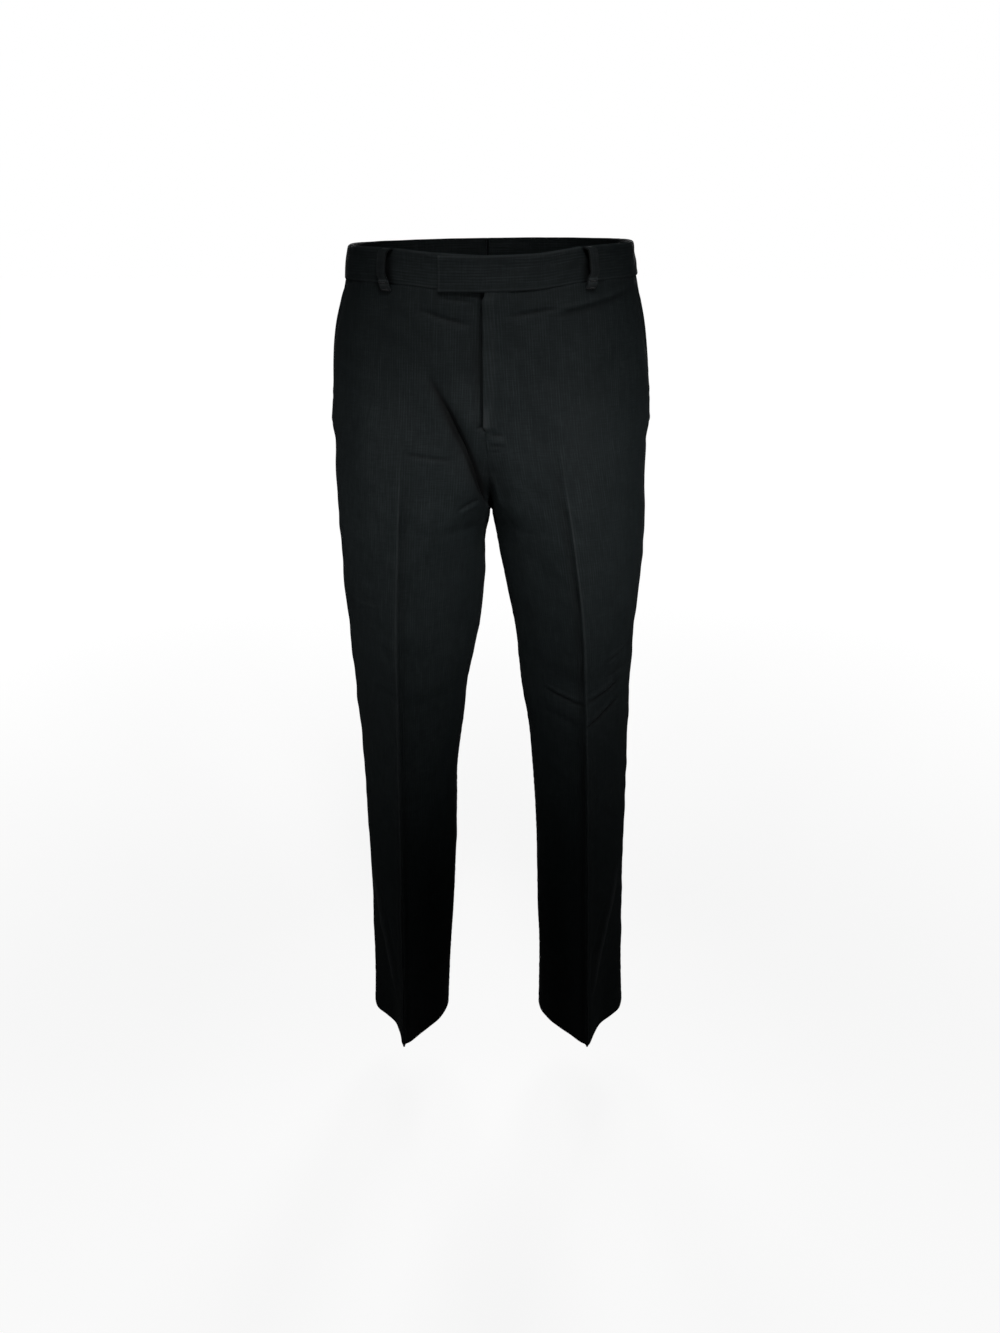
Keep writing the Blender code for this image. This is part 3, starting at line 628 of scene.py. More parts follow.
def panel_grid(node):
    """A leg panel as a fine grid, with u from the pressed crease and v down from the waist."""
    rows = wall_rows(node, PANEL_COLUMNS, PANEL_WALL)
    down = run_lengths(rows)
    fine = follow(rows, down, row_places(down[-1]))
    for _ in range(ROW_PASSES):
        smooth_rows(fine)
    over = fine.transpose(1, 0, 2)
    across = run_lengths(over)
    crease = across[CREASE_COLUMN]
    before, after = over[: CREASE_COLUMN + 1], over[CREASE_COLUMN:]
    first = follow(before, across[: CREASE_COLUMN + 1], spread(0.0, crease, COLUMN_STEP))
    last = follow(after, across[CREASE_COLUMN:], spread(crease, across[-1], COLUMN_STEP))
    surface = np.concatenate([first, last[1:]]).transpose(1, 0, 2)
    middle = len(first) - 1
    u, v = cloth_lengths(surface, middle)
    u -= u[:, middle : middle + 1]
    return surface, u, v


def backing(outer, thickness):
    """The inner side of a cloth whose outer side is known."""
    return outer - normals_of(outer) * thickness[..., None]


SEAM_CALM = 0.016           # no fold comes nearer to the side seam or the inseam
WAIST_CALM = 0.02           # nor to the waist seam
BAND_TUCK, TUCK_REACH = 0.003, 0.004        # how far a top edge goes up behind the band
TUCK_SINK = 0.0008
RISE_LAP = 0.0005           # each half goes this far over the middle
BAND_DEPTH = 0.0017         # a tucked edge sinks no deeper, and stays within the band
HEM_EDGE = 0.0012
HEM_DIP, HEM_WEAR = 0.0005, 0.25


def rise_normals(surface, to_inner):
    """Outward directions that both halves share along the rise seam, so that no relief opens it."""
    normals = normals_of(surface)
    above_fork = ease((surface[..., 2] - FORK_HEIGHT) / 0.01)
    normals[..., 0] *= 1 - above_fork * near(to_inner, 0.01)
    return normals / np.linalg.norm(normals, axis=2, keepdims=True)


def calm_part(height, to_outer, to_inner):
    """0 along the side seam and the inseam, which hold the cloth flat, and 1 away from them."""
    below_fork = ease((FORK_HEIGHT - height) / 0.012)
    return ease(to_outer / SEAM_CALM) * (1 - below_fork * near(to_inner, SEAM_CALM))


def waist_edge(to_top, u):
    """The puckered seam to the band, sunk where the panel goes up behind it."""
    return sewn_edge(to_top, u, WAIST_SEAM) - TUCK_SINK * near(to_top, TUCK_REACH)


def inside_band(lift, to_top):
    """Keeps a tucked top edge within the band's thickness, so that no hole opens under it."""
    return np.maximum(lift, -BAND_DEPTH - 0.004 * ease((to_top - 0.001) / 0.005))


def tuck(outer, to_top, to_inner, side):
    """Slips a panel's top edge up behind the band's foot, and laps its rise edge a little."""
    outer[..., 2] += BAND_TUCK * near(to_top, TUCK_REACH)
    above_fork = ease((outer[..., 2] - FORK_HEIGHT) / 0.01)
    toward = 1 if side == "right" else -1
    outer[..., 0] += toward * RISE_LAP * above_fork * near(to_inner, 0.004)


def panel_backing(outer, to_inner, to_outer, to_hem):
    """A panel's inner side, deeper along its seams and its hem, where the cloth is doubled."""
    seams = [near(to_seam - SEAM_ALLOWANCE, 0.004) for to_seam in (to_inner, to_outer)]
    doubled = np.maximum.reduce([*seams, near(to_hem - HEM_ALLOWANCE, 0.003)])
    return backing(outer, SUITING + TURNING * doubled)


# The pocket mouth's edge is rolled, and between its ends it stands away from the bearer.
MOUTH_ROLL, ROLL_PLACE, ROLL_WIDTH = 0.002, 0.0035, 0.0042
GAPE_TOP, GAPE_FOOT = -0.055, -0.19
FOOT_FADE = 0.006           # how soon the mouth, and the fly, end at their feet
BULGE, BULGE_PLACE, BULGE_WIDTH = 0.001, 0.019, 0.008
# Painted highlight on the bulge ahead of the mouth, and painted shade on the slope between it and
# the edge.
BULGE_TONE, SLOPE_TONE = 0.42, 0.25
MOUTH_TONE, GAPE_TONE = 0.3, 0.2            # painted highlight along the rolled edge, and more where it gapes

# The fly is the left front's folded edge, which stands up; the right front lies hollow under it.
FLY_FOOT = -0.158
FLY_STRIP = 0.0095          # the folded edge of the fly stands up this far in
FLY_UNDERLAP = 0.0125       # the right front runs on this far under the fly's edge
FLY_STAND, FLY_LAP, FLY_HOLLOW = 0.0017, 0.003, 0.003
HOLLOW_REACH, SLACK_REACH = 0.003, 0.0085   # beside the fly, and more where it is slackest
SLACK_HEIGHT, SLACK_LENGTH = -0.088, 0.038
# A faint shine of pressing along the fly's folded edge, a painted highlight toward its foot, and
# painted shadow on the right front beside it.
FLY_TONE, FLY_FOOT_TONE, FLY_SHADE = 0.09, 0.42, 0.6
FLY_TURN = -0.126           # below here the strip turns in toward its foot

# Painted highlight along the pressed crease, and how narrow its line is; painted shade beside it,
# toward the inseam.
FRONT_CREASE_TONE, CREASE_LINE = 0.5, 0.0012
CREASE_SHADE = {"right": 0.22, "left": 0.38}    # painted shade beside the pressed crease, toward the inseam
SHADE_PLACE, SHADE_WIDTH = 0.006, 0.0054
# Painted shade along the inseam below the fork, where the legs face each other.
INSEAM_SHADE, INSEAM_REACH, INSEAM_TOP = 0.5, 0.021, -0.165
HEM_RIDGE_TONE, HEM_RIDGE_TOP = 2.4, -0.7       # how much more painted highlight the ridges at the hem get
WAIST_WEAR, WAIST_EDGE = 0.15, 0.0016
FRONT_SEEDS = {"right": 11, "left": 29}


def mouth_edge(to_outer):
    """The full roll along the pocket mouth, which is turned under and not sewn down."""
    roll = MOUTH_ROLL * bell(to_outer - ROLL_PLACE, ROLL_WIDTH)
    return roll - turned_edge(to_outer, 0.0011, 0.002)


def front_piece(side):
    node = "front_" + side
    surface, u, v = panel_grid(node)
    to_inner, to_outer = u - u[:, :1], u[:, -1:] - u
    to_top, to_hem = -v, v - v[-1:, :]
    height = surface[..., 2]
    calm = calm_part(height, to_outer, to_inner)

    # The relief of the cloth.
    folds = fold_height(surface, FRONT_FOLDS) * calm
    lift = folds + cloth_relief(surface, u, -u) * calm * ease(to_top / WAIST_CALM)
    on_mouth = ease((height - MOUTH_FOOT) / FOOT_FADE)
    lift += (1 - on_mouth) * sewn_edge(to_outer, v, SIDE_SEAM)
    lift += on_mouth * mouth_edge(to_outer) * ease(to_top / WAIST_CALM)
    lift += pocket_foot(to_outer, height)
    gape = ease((GAPE_TOP - height) / 0.05) * ease((height - GAPE_FOOT) / 0.034)
    bulge = gape * bell(to_outer - BULGE_PLACE, BULGE_WIDTH)
    lift += BULGE * bulge
    on_fly = ease((height - FLY_FOOT) / FOOT_FADE)
    open_fly = on_fly * ease(to_top / 0.01)
    if side == "left":
        strip = ease((FLY_STRIP + 0.0045 - to_inner) / 0.006)
        lift += open_fly * (FLY_STAND * strip - turned_edge(to_inner, 0.001, 0.0016))
    else:
        strip = np.zeros_like(u)
        beside_fly = np.maximum(to_inner - FLY_UNDERLAP, 0)
        reach = HOLLOW_REACH + SLACK_REACH * bell(height - SLACK_HEIGHT, SLACK_LENGTH)
        under_fly = open_fly * np.exp(-((beside_fly / reach) ** 1.5))
        lift -= FLY_HOLLOW * under_fly
    lift += (1 - on_fly) * sewn_edge(to_inner, v, INNER_SEAM)
    lift += waist_edge(to_top, u)
    lift -= HEM_DIP * bell(to_hem, HEM_EDGE)
    outer = surface + rise_normals(surface, to_inner) * inside_band(lift, to_top)[..., None]
    tuck(outer, to_top, to_inner, side)
    if side == "left":
        outer[..., 0] -= FLY_LAP * open_fly * near(to_inner, 0.016)
    inner = panel_backing(outer, to_inner, to_outer, to_hem)

    # Wear at the waist and the hem, painted highlights, and painted shade.
    pressed = pressed_part(height)
    # A painted highlight along the crease, and painted shade beside it.
    wear_and_painted_light = FRONT_CREASE_TONE * pressed * np.exp(-abs(u - 0.0008) / CREASE_LINE)
    wear_and_painted_light -= pressed * CREASE_SHADE[side] * bell(-u - SHADE_PLACE, SHADE_WIDTH)
    # Painted highlight on fold tops and painted shade in fold troughs, with more highlight on the
    # ridges at the hem.
    tone = fold_tone(surface, FRONT_FOLDS) * calm
    at_hem = ease((HEM_RIDGE_TOP - height) / 0.08)
    wear_and_painted_light += tone + HEM_RIDGE_TONE * np.maximum(tone, 0) * at_hem
    # Painted shade along the inseam.
    wear_and_painted_light -= INSEAM_SHADE * bell(to_inner, INSEAM_REACH) * ease((INSEAM_TOP - height) / 0.06)
    # Painted highlight along the pocket mouth's rolled edge and on the bulge, with painted shade
    # between them.
    wear_and_painted_light += on_mouth * (MOUTH_TONE + GAPE_TONE * gape) * bell(to_outer - 0.003, 0.0032)
    wear_and_painted_light += BULGE_TONE * bulge - SLOPE_TONE * gape * bell(to_outer - 0.0085, 0.0035)
    # Along the fly's folded edge a faint shine of pressing, and a painted highlight toward its
    # foot.
    fly_foot = FLY_FOOT_TONE * ease((FLY_TURN - height) / 0.012)
    wear_and_painted_light += open_fly * strip * (FLY_TONE + fly_foot * near(to_inner - 0.003, 0.004))
    wear_and_painted_light += WAIST_WEAR * bell(to_top, WAIST_EDGE) + HEM_WEAR * bell(to_hem, HEM_EDGE)
    # Painted shadow on the right front under the fly's edge.
    if side == "right":
        wear_and_painted_light -= FLY_SHADE * under_fly
    wear_and_painted_light = np.clip(wear_and_painted_light, -1, 1)

    finish = suiting(node, "v", FRONT_SEEDS[side])
    return cloth_piece(node, outer, inner, u, v, finish, wear_and_painted_light, inner_step=2)


front_right = front_piece("right")
front_left = front_piece("left")

# Backs.
# Two backs of the same suiting, sewn to each other at the centre back and to the fronts at the side
# seams and inseams, and pressed to a crease.  The seat is shaped with one sewn dart on each side.
BACK_FOLDS = (
    # x, z, end x, end z, bow, width, depth, all in millimetres, and pinch
    (-24, -252, -112, -296, 7, 3.6, -3.4, 1.2),
    (-30, -264, -128, -312, 7, 9, 1.6, 2.0),
    (-18, -285, -76, -318, 4, 3, -2, 1.2),
    (20, -264, 88, -306, -6, 3.6, -3, 1.2),
    (26, -276, 104, -322, -6, 9, 1.4, 2.0),
    (70, -302, 146, -320, -3, 3.4, -1.6, 1.4),
    (-62, -336, -146, -354, 4, 4.2, -1.6, 1.4),
    (36, -342, 104, -376, -5, 4.4, -1.8, 1.4),
    (-156, -224, -104, -248, 3, 9, -1.2, 2.0),
    (148, -242, 88, -258, -2, 8, -1, 2.0),
    (-64, -40, -10, -60, 2, 2.4, -1.4, 1.3),
    (14, -52, 62, -37, 2, 2.4, -1.2, 1.3),
    (-70, -506, -150, -532, 3, 3.6, -3.4, 1.3),
    (-64, -500, -138, -522, 3, 4.8, 1.8, 1.8),
    (-88, -477, -158, -468, -2, 3.4, -2.2, 1.4),
    (-50, -487, -106, -492, 1, 3.2, -1.8, 1.4),
    (66, -522, 148, -556, -3, 3.6, -3.2, 1.3),
    (70, -517, 136, -546, -3, 4.8, 1.6, 1.8),
    (56, -498, 124, -483, 3, 3.4, -2.2, 1.4),
    (104, -456, 162, -465, 1, 3.4, -1.5, 1.5),
    (-166, -790, -122, -950, 4, 3, 2.2, 1.5),
    (176, -830, 132, -960, -4, 3, 2, 1.5),
)
DART_X, DART_FOOT = 0.083, -0.098
# The dart's pucker, its rise and its spread, and the painted shade along its seam.
DART_PUCKER, DART_RISE, DART_SPREAD, DART_SHADE = 1.6, 0.0009, 0.009, 0.3
# Painted highlight along the back's pressed crease, and painted shade beside it.
BACK_CREASE_TONE, BACK_CREASE_SHADE = 0.3, 0.25
# Painted shade along the inseam under the seat, below its top.
SEAT_SHADE, SEAT_REACH, SEAT_TOP = 0.35, 0.019, -0.235
BACK_SEEDS = {"right": 47, "left": 61}


def back_piece(side):
    node = "back_" + side
    surface, u, v = panel_grid(node)
    to_outer, to_inner = u - u[:, :1], u[:, -1:] - u
    to_top, to_hem = -v, v - v[-1:, :]
    height = surface[..., 2]
    calm = calm_part(height, to_outer, to_inner)

    # The relief of the cloth.
    folds = fold_height(surface, BACK_FOLDS) * calm
    lift = folds + cloth_relief(surface, u, u) * calm * ease(to_top / WAIST_CALM)
    lift += sewn_edge(to_outer, v, SIDE_SEAM) + sewn_edge(to_inner, v, INNER_SEAM)
    lift += pocket_foot(to_outer, height)
    lift += waist_edge(to_top, u)
    lift -= HEM_DIP * bell(to_hem, HEM_EDGE)
    to_dart = abs(abs(surface[..., 0]) - DART_X)
    dart = ease((height - DART_FOOT) / 0.03)
    pucker = DART_PUCKER * sewn_edge(to_dart, v, DART_SEAM)
    lift += dart * (pucker + DART_RISE * bell(to_dart, DART_SPREAD))
    outer = surface + rise_normals(surface, to_inner) * inside_band(lift, to_top)[..., None]
    tuck(outer, to_top, to_inner, side)
    inner = panel_backing(outer, to_inner, to_outer, to_hem)

    # Wear at the hem, painted highlights, and painted shade.
    pressed = pressed_part(height)
    wear_and_painted_light = BACK_CREASE_TONE * pressed * np.exp(-abs(u) / 0.0011)
    wear_and_painted_light += 0.5 * fold_tone(surface, BACK_FOLDS) * calm
    wear_and_painted_light -= pressed * BACK_CREASE_SHADE * bell(u - 0.006, 0.0058)
    wear_and_painted_light -= DART_SHADE * dart * np.exp(-to_dart / 0.0012)
    wear_and_painted_light -= SEAT_SHADE * bell(to_inner, SEAT_REACH) * ease((SEAT_TOP - height) / 0.06)
    wear_and_painted_light += HEM_WEAR * bell(to_hem, HEM_EDGE)
    wear_and_painted_light = np.clip(wear_and_painted_light, -1, 1)

    finish = suiting(node, "v", BACK_SEEDS[side])
    return cloth_piece(node, outer, inner, u, v, finish, wear_and_painted_light, inner_step=2)


back_right = back_piece("right")
back_left = back_piece("left")

# Pocket bearers.
# A strip of the suiting behind each slanted mouth, sewn into the side seam, so that no lining shows
# when the mouth stands open.
BEARER_COLUMNS = 4
BEARER_SINK, BEARER_LAP = 0.0006, 0.0025    # at the side seam, where it lies behind the back
BEARER_SEEDS = {"right": 83, "left": 97}
BEARER_STEPS = 0.0024, 0.002


def even_grid(rows, down_step, across_step):
    """A smooth surface through rows of points, in even steps down and across, and its width."""
    down = run_lengths(rows)
    over = follow(rows, down, spread(0.0, down[-1], down_step)).transpose(1, 0, 2)
    across = run_lengths(over)
    fine = follow(over, across, spread(0.0, across[-1], across_step))
    return fine.transpose(1, 0, 2), across[-1]


def bearer_piece(side):
    node = "pocket_bearer_" + side
    seed = BEARER_SEEDS[side]
    surface, _ = even_grid(wall_rows(node, BEARER_COLUMNS, PANEL_WALL), *BEARER_STEPS)
    u, v = cloth_lengths(surface, -1)
    u -= u[:, -1:]
    lift = -0.00012 * (1 + wander(surface, 0.03, seed)) + sewn_edge(-u, v, SIDE_SEAM)
    lift += pocket_foot(-u, surface[..., 2])
    at_seam, at_top = near(-u, 0.004), near(-v, TUCK_REACH)
    lift -= BEARER_SINK * at_seam + TUCK_SINK * at_top
    outer = surface + normals_of(surface) * inside_band(lift, -v)[..., None]
    toward_back = surface[:, -1] - surface[:, -2]
    toward_back /= np.linalg.norm(toward_back, axis=1, keepdims=True)
    outer += toward_back[:, None] * (BEARER_LAP * at_seam)[..., None]
    outer[..., 2] += BAND_TUCK * at_top
    inner = backing(outer, np.full_like(u, SUITING))
    return cloth_piece(node, outer, inner, u, v, suiting(node, "v", seed), np.zeros_like(u))


bearer_right = bearer_piece("right")
bearer_left = bearer_piece("left")

# Waistband.
# Two lengths of suiting folded over a stiff interlining, with the stripe running round the waist,
# sewn to the panels and to each other at the centre back.  The left one ends in a square tab that
# laps the right one.
BAND_WALL = 0.003
BAND_COLUMNS = {"right": 26, "left": 30}
BAND_SEEDS = {"right": 113, "left": 131}
BAND_STEPS = 0.002, 0.001
BAND_FOLD, BAND_TURN = (0.001, 0.0018), (0.0008, 0.0016)     # dip and reach at its edges
# Painted highlight along the band's top edge, and along its foot and the tab's end.
BAND_TOP_HIGHLIGHT, BAND_EDGE_HIGHLIGHT = 0.22, 0.3
LOOP_COUNT, FRONT_LOOPS = 7, 2
# Painted shadow on the band under and beside each loop, more at the front loops.
FRONT_LOOP_SHADE, BACK_LOOP_SHADE, LOOP_SHADE_WIDTH = 0.9, 0.5, 0.0066
LOOP_NEAR = 0.012           # a loop this near to a band lies over it


def loop_shade(surface):
    """How much painted shadow each belt loop puts on the band under it and beside it."""
    shade = np.zeros(surface.shape[:2])
    for number in range(1, LOOP_COUNT + 1):
        loop = frame["nodes"][f"belt_loop_{number}"].data
        middle = np.mean([corner.co[:] for corner in loop.vertices], axis=0)
        apart = np.linalg.norm((surface - middle)[..., :2], axis=2)
        nearest = apart.min()
        if nearest < LOOP_NEAR:
            beside = np.sqrt(np.maximum(apart**2 - nearest**2, 0))
            depth = FRONT_LOOP_SHADE if number <= FRONT_LOOPS else BACK_LOOP_SHADE
            shade += depth * np.exp(-((beside / LOOP_SHADE_WIDTH) ** 4))
    return shade


def band_piece(side):
    node = "waistband_" + side
    seed = BAND_SEEDS[side]
    rows = wall_rows(node, BAND_COLUMNS[side], BAND_WALL)
    surface = even_grid(rows.transpose(1, 0, 2), *BAND_STEPS)[0].transpose(1, 0, 2)
    along = np.linalg.norm(np.diff(surface.mean(axis=0), axis=0), axis=1)
    u = np.concatenate([[0.0], np.cumsum(along)])[None, :] * np.ones(surface.shape[:2])
    v = -run_lengths(surface)[:, None] * np.ones_like(u)
    to_top, to_foot = -v, v - v[-1:, :]
    to_back, to_end = u, u[:, -1:] - u

    # The relief of the cloth: slack over the interlining, and edges pressed round it.
    lift = 0.00028 * wander(surface, 0.045, seed) + 0.00012 * wander(surface, 0.018, seed + 1)
    lift += 0.0005 * bell(to_top - 0.004, 0.004)
    lift -= turned_edge(to_top, *BAND_FOLD)
    lift -= turned_edge(to_end, *BAND_TURN)
    lift -= turned_edge(to_foot, *BAND_TURN)
    lift += sewn_edge(to_back, v, seed + 3)
    outer = surface + normals_of(surface) * lift[..., None]
    edge = np.minimum.reduce([to_top, to_foot, to_end, to_back + 0.002])
    inner = backing(outer, BAND_WALL * (0.55 + 0.35 * ease(edge / 0.0025)))

    # Painted highlights along the edges, and the painted shadow of the loops.
    wear_and_painted_light = BAND_TOP_HIGHLIGHT * bell(to_top - 0.0012, 0.0014)
    wear_and_painted_light += BAND_EDGE_HIGHLIGHT * bell(to_foot - 0.0014, 0.001)
    if side == "left":
        wear_and_painted_light += BAND_EDGE_HIGHLIGHT * bell(to_end - 0.0014, 0.001)
    wear_and_painted_light -= loop_shade(surface)
    return cloth_piece(node, outer, inner, u, v, suiting(node, "u", seed), wear_and_painted_light)


band_right = band_piece("right")
band_left = band_piece("left")

# Belt loops.
# Seven narrow straps of the suiting, folded in three and edge stitched, each tucked over the band's
# top edge and turned under and bar tacked just below its seam.
LOOP_WALL = 0.0018
LOOP_COLUMNS = 2
LOOP_STEP = 0.0009
LOOP_LEANS = (0.0032, 0.0032, 0.001, -0.0006, 0.0008, 0.0012, 0.0004)   # each loop's sag sideways
LOOP_TURN = 0.0115          # the foot is turned under for this length
TURN_RISE, TACK_DIP, TACK_REACH = 0.0012, 0.0007, 0.0009
STITCH_DIP, STITCH_PLACE, STITCH_REACH = 0.00022, 0.0018, 0.0005
LOOP_SIDE, LOOP_FOOT = (0.0006, 0.0012), (0.0009, 0.0014)   # dip and reach at its edges
LOOP_TACKS = (0.009, 0.0016)                # the two rows of tacking, up from the foot's edge
LOOP_SEED = 150
LOOP_SUITING = (0.0056, 0.0072, 0.0078)
LOOP_STRIPE = (0.0135, 0.0168, 0.0177)
# Painted highlight on the turned foot and along the edges, and painted shade down both sides of the
# strap.
TURNED_TONE, EDGE_TONE, SIDE_SHADE = 0.75, 0.1, 0.9
THREAD_COLOUR = (0.02, 0.021, 0.022)
THREAD_LIGHT = (0.036, 0.037, 0.038)
THREAD_WIDTH = 0.0006
TWIST_SCALE = 700.0


def thread_finish():
    """Buttonhole-weight polyester thread, a little glossier and lighter than the suiting."""
    looks = {"Roughness": 0.5, "Sheen Weight": 0.1}
    finish, nodes, link, shader = new_finish("tacking_thread", looks)
    place = nodes.new("ShaderNodeTexCoord")
    twist = new_node(nodes, "TexWave", {"Scale": TWIST_SCALE})
    twist.bands_direction = "DIAGONAL"
    link(place.outputs["Object"], twist.inputs["Vector"])
    shade = mixed(nodes, link, THREAD_COLOUR, THREAD_LIGHT, twist.outputs["Fac"])
    link(shade, shader.inputs["Base Color"])
    link(bumped(nodes, link, twist.outputs["Fac"], 0.4, 0.00008), shader.inputs["Normal"])
    return finish


BEAD_SIDES = 6
BEAD_RINGS = ((0.0, 0.35), (0.22, 0.9), (0.5, 1.0), (0.78, 0.9), (1.0, 0.35))   # place and size


def stitch_row(name, stitches, normals, finish):
    """Short rounded stitches from pairs of points, each a bead sunk halfway into the cloth."""
    work = bmesh.new()
    for (start, end), normal in zip(stitches, normals):
        start, end, normal = Vector(start), Vector(end), Vector(normal)
        side = normal.cross((end - start).normalized()).normalized()
        rings = []
        for part, size in BEAD_RINGS:
            centre = start.lerp(end, part)
            ring = []
            for step in range(BEAD_SIDES):
                angle = 2 * math.pi * step / BEAD_SIDES
                reach = side * math.cos(angle) + normal * math.sin(angle)
                ring.append(work.verts.new(centre + reach * THREAD_WIDTH / 2 * size))
            rings.append(ring)
        for ring, after in zip(rings, rings[1:]):
            for step in range(BEAD_SIDES):
                onward = (step + 1) % BEAD_SIDES
                work.faces.new((ring[step], ring[onward], after[onward], after[step]))
        work.faces.new(rings[0][::-1])
        work.faces.new(rings[-1])
    bmesh.ops.recalc_face_normals(work, faces=work.faces)
    mesh = bpy.data.meshes.new(name)
    work.to_mesh(mesh)
    work.free()
    new_piece(name, mesh, finish)


tacking_thread = thread_finish()


def belt_loop(number):
    node = f"belt_loop_{number}"
    seed = LOOP_SEED + number
    surface, width = even_grid(wall_rows(node, LOOP_COLUMNS, LOOP_WALL), LOOP_STEP, LOOP_STEP)
    u, v = cloth_lengths(surface, 0)
    u -= width / 2
    to_side = width / 2 - abs(u)
    from_foot = v - v[-1, 0]

    # The turned foot, the tacks' and the edge stitching's grooves, and the rolled edges.
    turned = near(from_foot - LOOP_TURN, 0.0015)
    tack = sum(bell(from_foot - up, TACK_REACH) for up in LOOP_TACKS)
    edge_stitch = bell(to_side - STITCH_PLACE, STITCH_REACH)
    lift = TURN_RISE * turned - TACK_DIP * tack * turned
    lift -= STITCH_DIP * edge_stitch * (1 - turned)
    lift -= turned_edge(to_side, *LOOP_SIDE)
    lift -= turned_edge(from_foot, *LOOP_FOOT)
    lift += 0.00008 * wander(surface, 0.006, seed)
    normals = normals_of(surface)

    # It sags sideways between the band's top and its foot.
    sideways = surface[:, -1] - surface[:, 0]
    toward = 1 if sideways[:, 1].mean() > 0 else -1
    sideways /= np.linalg.norm(sideways, axis=1, keepdims=True) * toward
    hanging = ease(-v / 0.008) * ease((from_foot - LOOP_TURN) / 0.006)
    surface += sideways[:, None] * (LOOP_LEANS[number - 1] * hanging)[..., None]
    outer = surface + normals * lift[..., None]
    inner = surface - normals * (LOOP_WALL * 0.85)
    # Painted highlight on the turned foot and near the edges; painted shade at the strap's sides,
    # where the gap behind it lies in shadow.
    wear_and_painted_light = EDGE_TONE * bell(to_side - 0.0024, 0.001) + TURNED_TONE * turned
    wear_and_painted_light -= SIDE_SHADE * (1 - turned) * np.clip(1 - to_side / 0.0014, 0, 1)
    finish = suiting(node, "v", seed, LOOP_SUITING, LOOP_STRIPE)
    piece = cloth_piece(node, outer, inner, u, v, finish, wear_and_painted_light)

    threads, facing = [], []
    for up in LOOP_TACKS:
        row = int(np.argmin(abs(from_foot[:, 0] - up)))
        for column in range(2, outer.shape[1] - 3):
            here = outer[row, column] + normals[row, column] * 0.0002
            upward = (outer[row - 1, column] - outer[row, column]) * 1.1
            threads.append((here - upward, here + upward))
            facing.append(normals[row, column])
    stitch_row(node + "_tack", threads, facing, tacking_thread)


for number in range(1, LOOP_COUNT + 1):
    belt_loop(number)

# Stage, lamps and camera.
# A white floor below the legs and a white world around them.  Nine soft lamps, each kept to a cone:
# two in front and one above them, two at the sides, two low at the sides, and two behind.
FLOOR_HEIGHT, FLOOR_SIZE = -1.1, 24
FLOOR_PAINT = (0.3, 0.3, 0.3, 1.0)
# How white the floor is, from near by to far off.
FLOOR_WHITE = {"From Min": 0.5, "From Max": 2.0, "To Min": 0.9, "To Max": 1.0}
WHITE = (1.0, 1.0, 1.0, 1.0)
SKY_LIGHT = 0.02            # what the white world lends to the light


def white_stage():
    """White to the camera and plain grey to the lamps; far off it is as white as the world."""
    finish, nodes, link, _ = new_finish("stage_white", {})
    nodes.clear()
    out = nodes.new("ShaderNodeOutputMaterial")
    paint = new_node(nodes, "BsdfDiffuse", {"Color": FLOOR_PAINT})
    glow = nodes.new("ShaderNodeEmission")
    ray = nodes.new("ShaderNodeLightPath")
    both = nodes.new("ShaderNodeAddShader")
    place = nodes.new("ShaderNodeTexCoord")
    far = nodes.new("ShaderNodeVectorMath")
    far.operation = "LENGTH"
    level = new_node(nodes, "MapRange", FLOOR_WHITE)
    link(place.outputs["Object"], far.inputs[0])
    link(far.outputs["Value"], level.inputs["Value"])
    seen = nodes.new("ShaderNodeMath")
    seen.operation = "MULTIPLY"
    link(ray.outputs["Is Camera Ray"], seen.inputs[0])
    link(level.outputs["Result"], seen.inputs[1])
    link(seen.outputs["Value"], glow.inputs["Strength"])
    link(paint.outputs["BSDF"], both.inputs[0])
    link(glow.outputs["Emission"], both.inputs[1])
    link(both.outputs["Shader"], out.inputs["Surface"])
    return finish


bpy.ops.object.select_all(action="DESELECT")
bpy.ops.mesh.primitive_plane_add(size=FLOOR_SIZE, location=(0, 0, FLOOR_HEIGHT))
floor = bpy.context.object
floor.name = "floor"
floor.data.materials.append(white_stage())

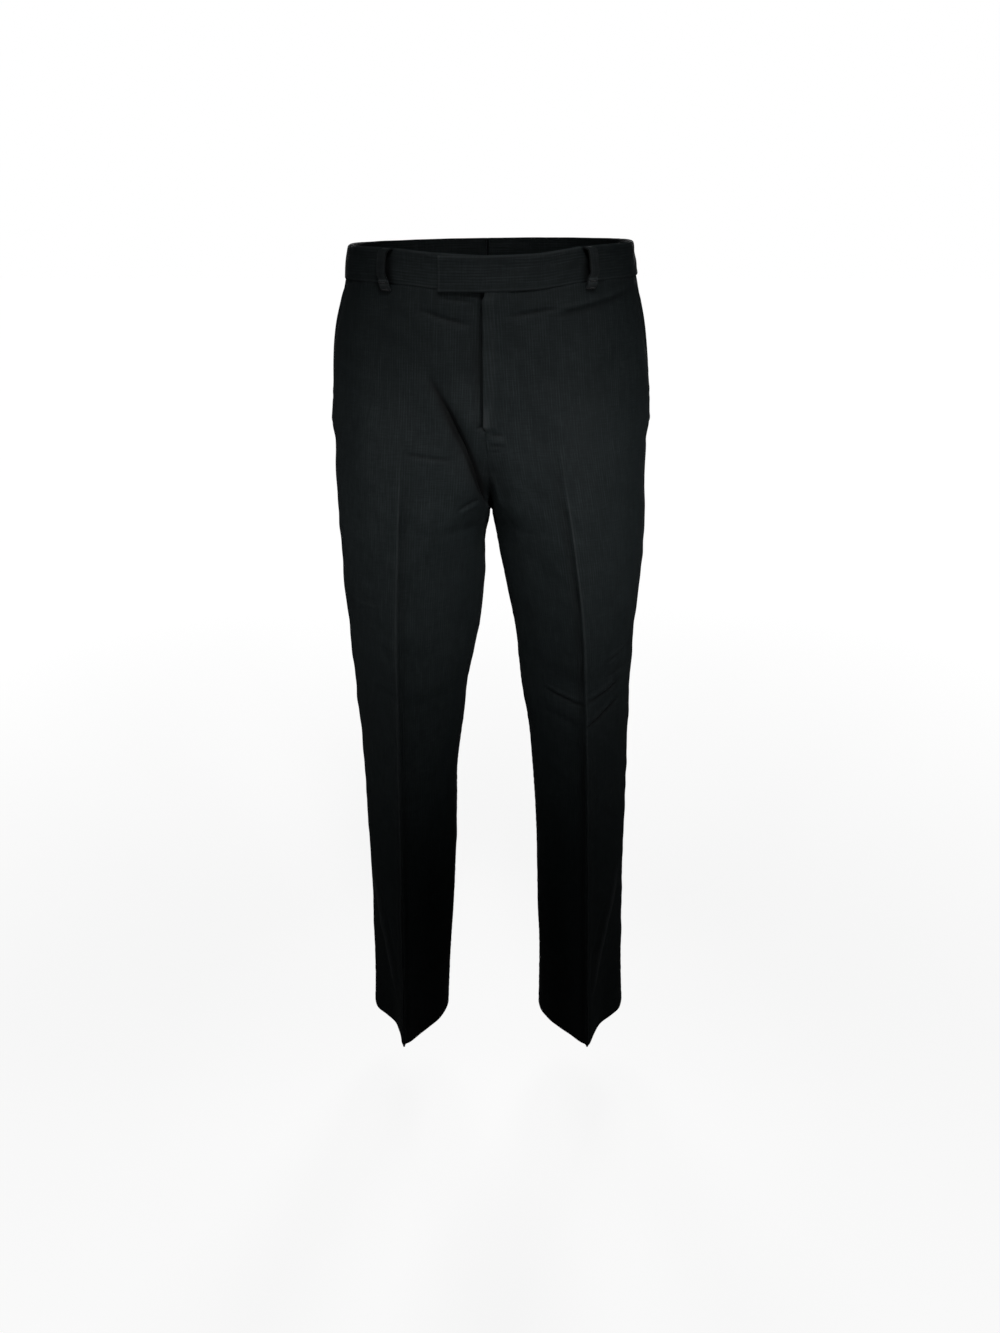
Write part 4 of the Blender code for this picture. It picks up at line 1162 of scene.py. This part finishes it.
scene = bpy.context.scene
scene.view_settings.view_transform = "Standard"
world = bpy.data.worlds.new("studio")
scene.world = world
world.use_nodes = True
sky = world.node_tree.nodes
background = sky["Background"]
background.inputs["Color"].default_value = WHITE
ray = sky.new("ShaderNodeLightPath")
strength = new_node(sky, "MapRange", {"To Min": SKY_LIGHT, "To Max": 1.0})
world.node_tree.links.new(ray.outputs["Is Camera Ray"], strength.inputs["Value"])
world.node_tree.links.new(strength.outputs["Result"], background.inputs["Strength"])


FRONT, SIDE, BACK = (0.3, 0.25), (0.4, 0.5), (0.5, 0.5)      # the lamps' widths and heights
LAMPS = (
    # name, place, aim, size, power in watts, cone in degrees
    ("lamp_left", (0.7, -1.15, 0.1), (0.04, 0, -0.31), FRONT, 0.38, 29),
    ("lamp_right", (-0.7, -1.15, 0.1), (-0.04, 0, -0.31), FRONT, 0.2, 29),
    ("lamp_above", (0.1, -0.95, 0.8), (0.0, 0, -0.17), FRONT, 0.27, 26),
    ("lamp_side_left", (1.2, -0.66, -0.2), (0.08, 0, -0.36), SIDE, 0.11, 38),
    ("lamp_side_right", (-1.2, -0.66, -0.2), (-0.08, 0, -0.36), SIDE, 0.19, 38),
    ("lamp_low_left", (1.38, -0.12, -0.45), (0.1, 0, -0.8), SIDE, 0.18, 46),
    ("lamp_low_right", (-1.38, -0.12, -0.45), (-0.1, 0, -0.8), SIDE, 0.15, 46),
    ("lamp_back_left", (0.42, 1.42, 0.25), (0.05, 0, -0.32), BACK, 1.4, 56),
    ("lamp_back_right", (-0.42, 1.42, 0.25), (-0.05, 0, -0.32), BACK, 0.9, 56),
)
for name, place, aim, size, power, cone in LAMPS:
    data = bpy.data.lights.new(name, "AREA")
    data.shape = "RECTANGLE"
    data.size, data.size_y = size
    data.energy = power
    data.spread = math.radians(cone)
    lamp = bpy.data.objects.new(name, data)
    lamp.location = place
    lamp.rotation_euler = (Vector(aim) - Vector(place)).to_track_quat("-Z", "Y").to_euler()
    scene.collection.objects.link(lamp)

CAMERA_PLACE = (0.0095, -1.3, 0.1)
LOOKS_DOWN = 24             # degrees
camera_data = bpy.data.cameras.new("camera")
camera_data.sensor_width = 36.0
camera_data.lens = 30.65
camera = bpy.data.objects.new("camera", camera_data)
camera.location = CAMERA_PLACE
camera.rotation_euler = (math.radians(90 - LOOKS_DOWN), 0, 0)
scene.collection.objects.link(camera)
scene.camera = camera
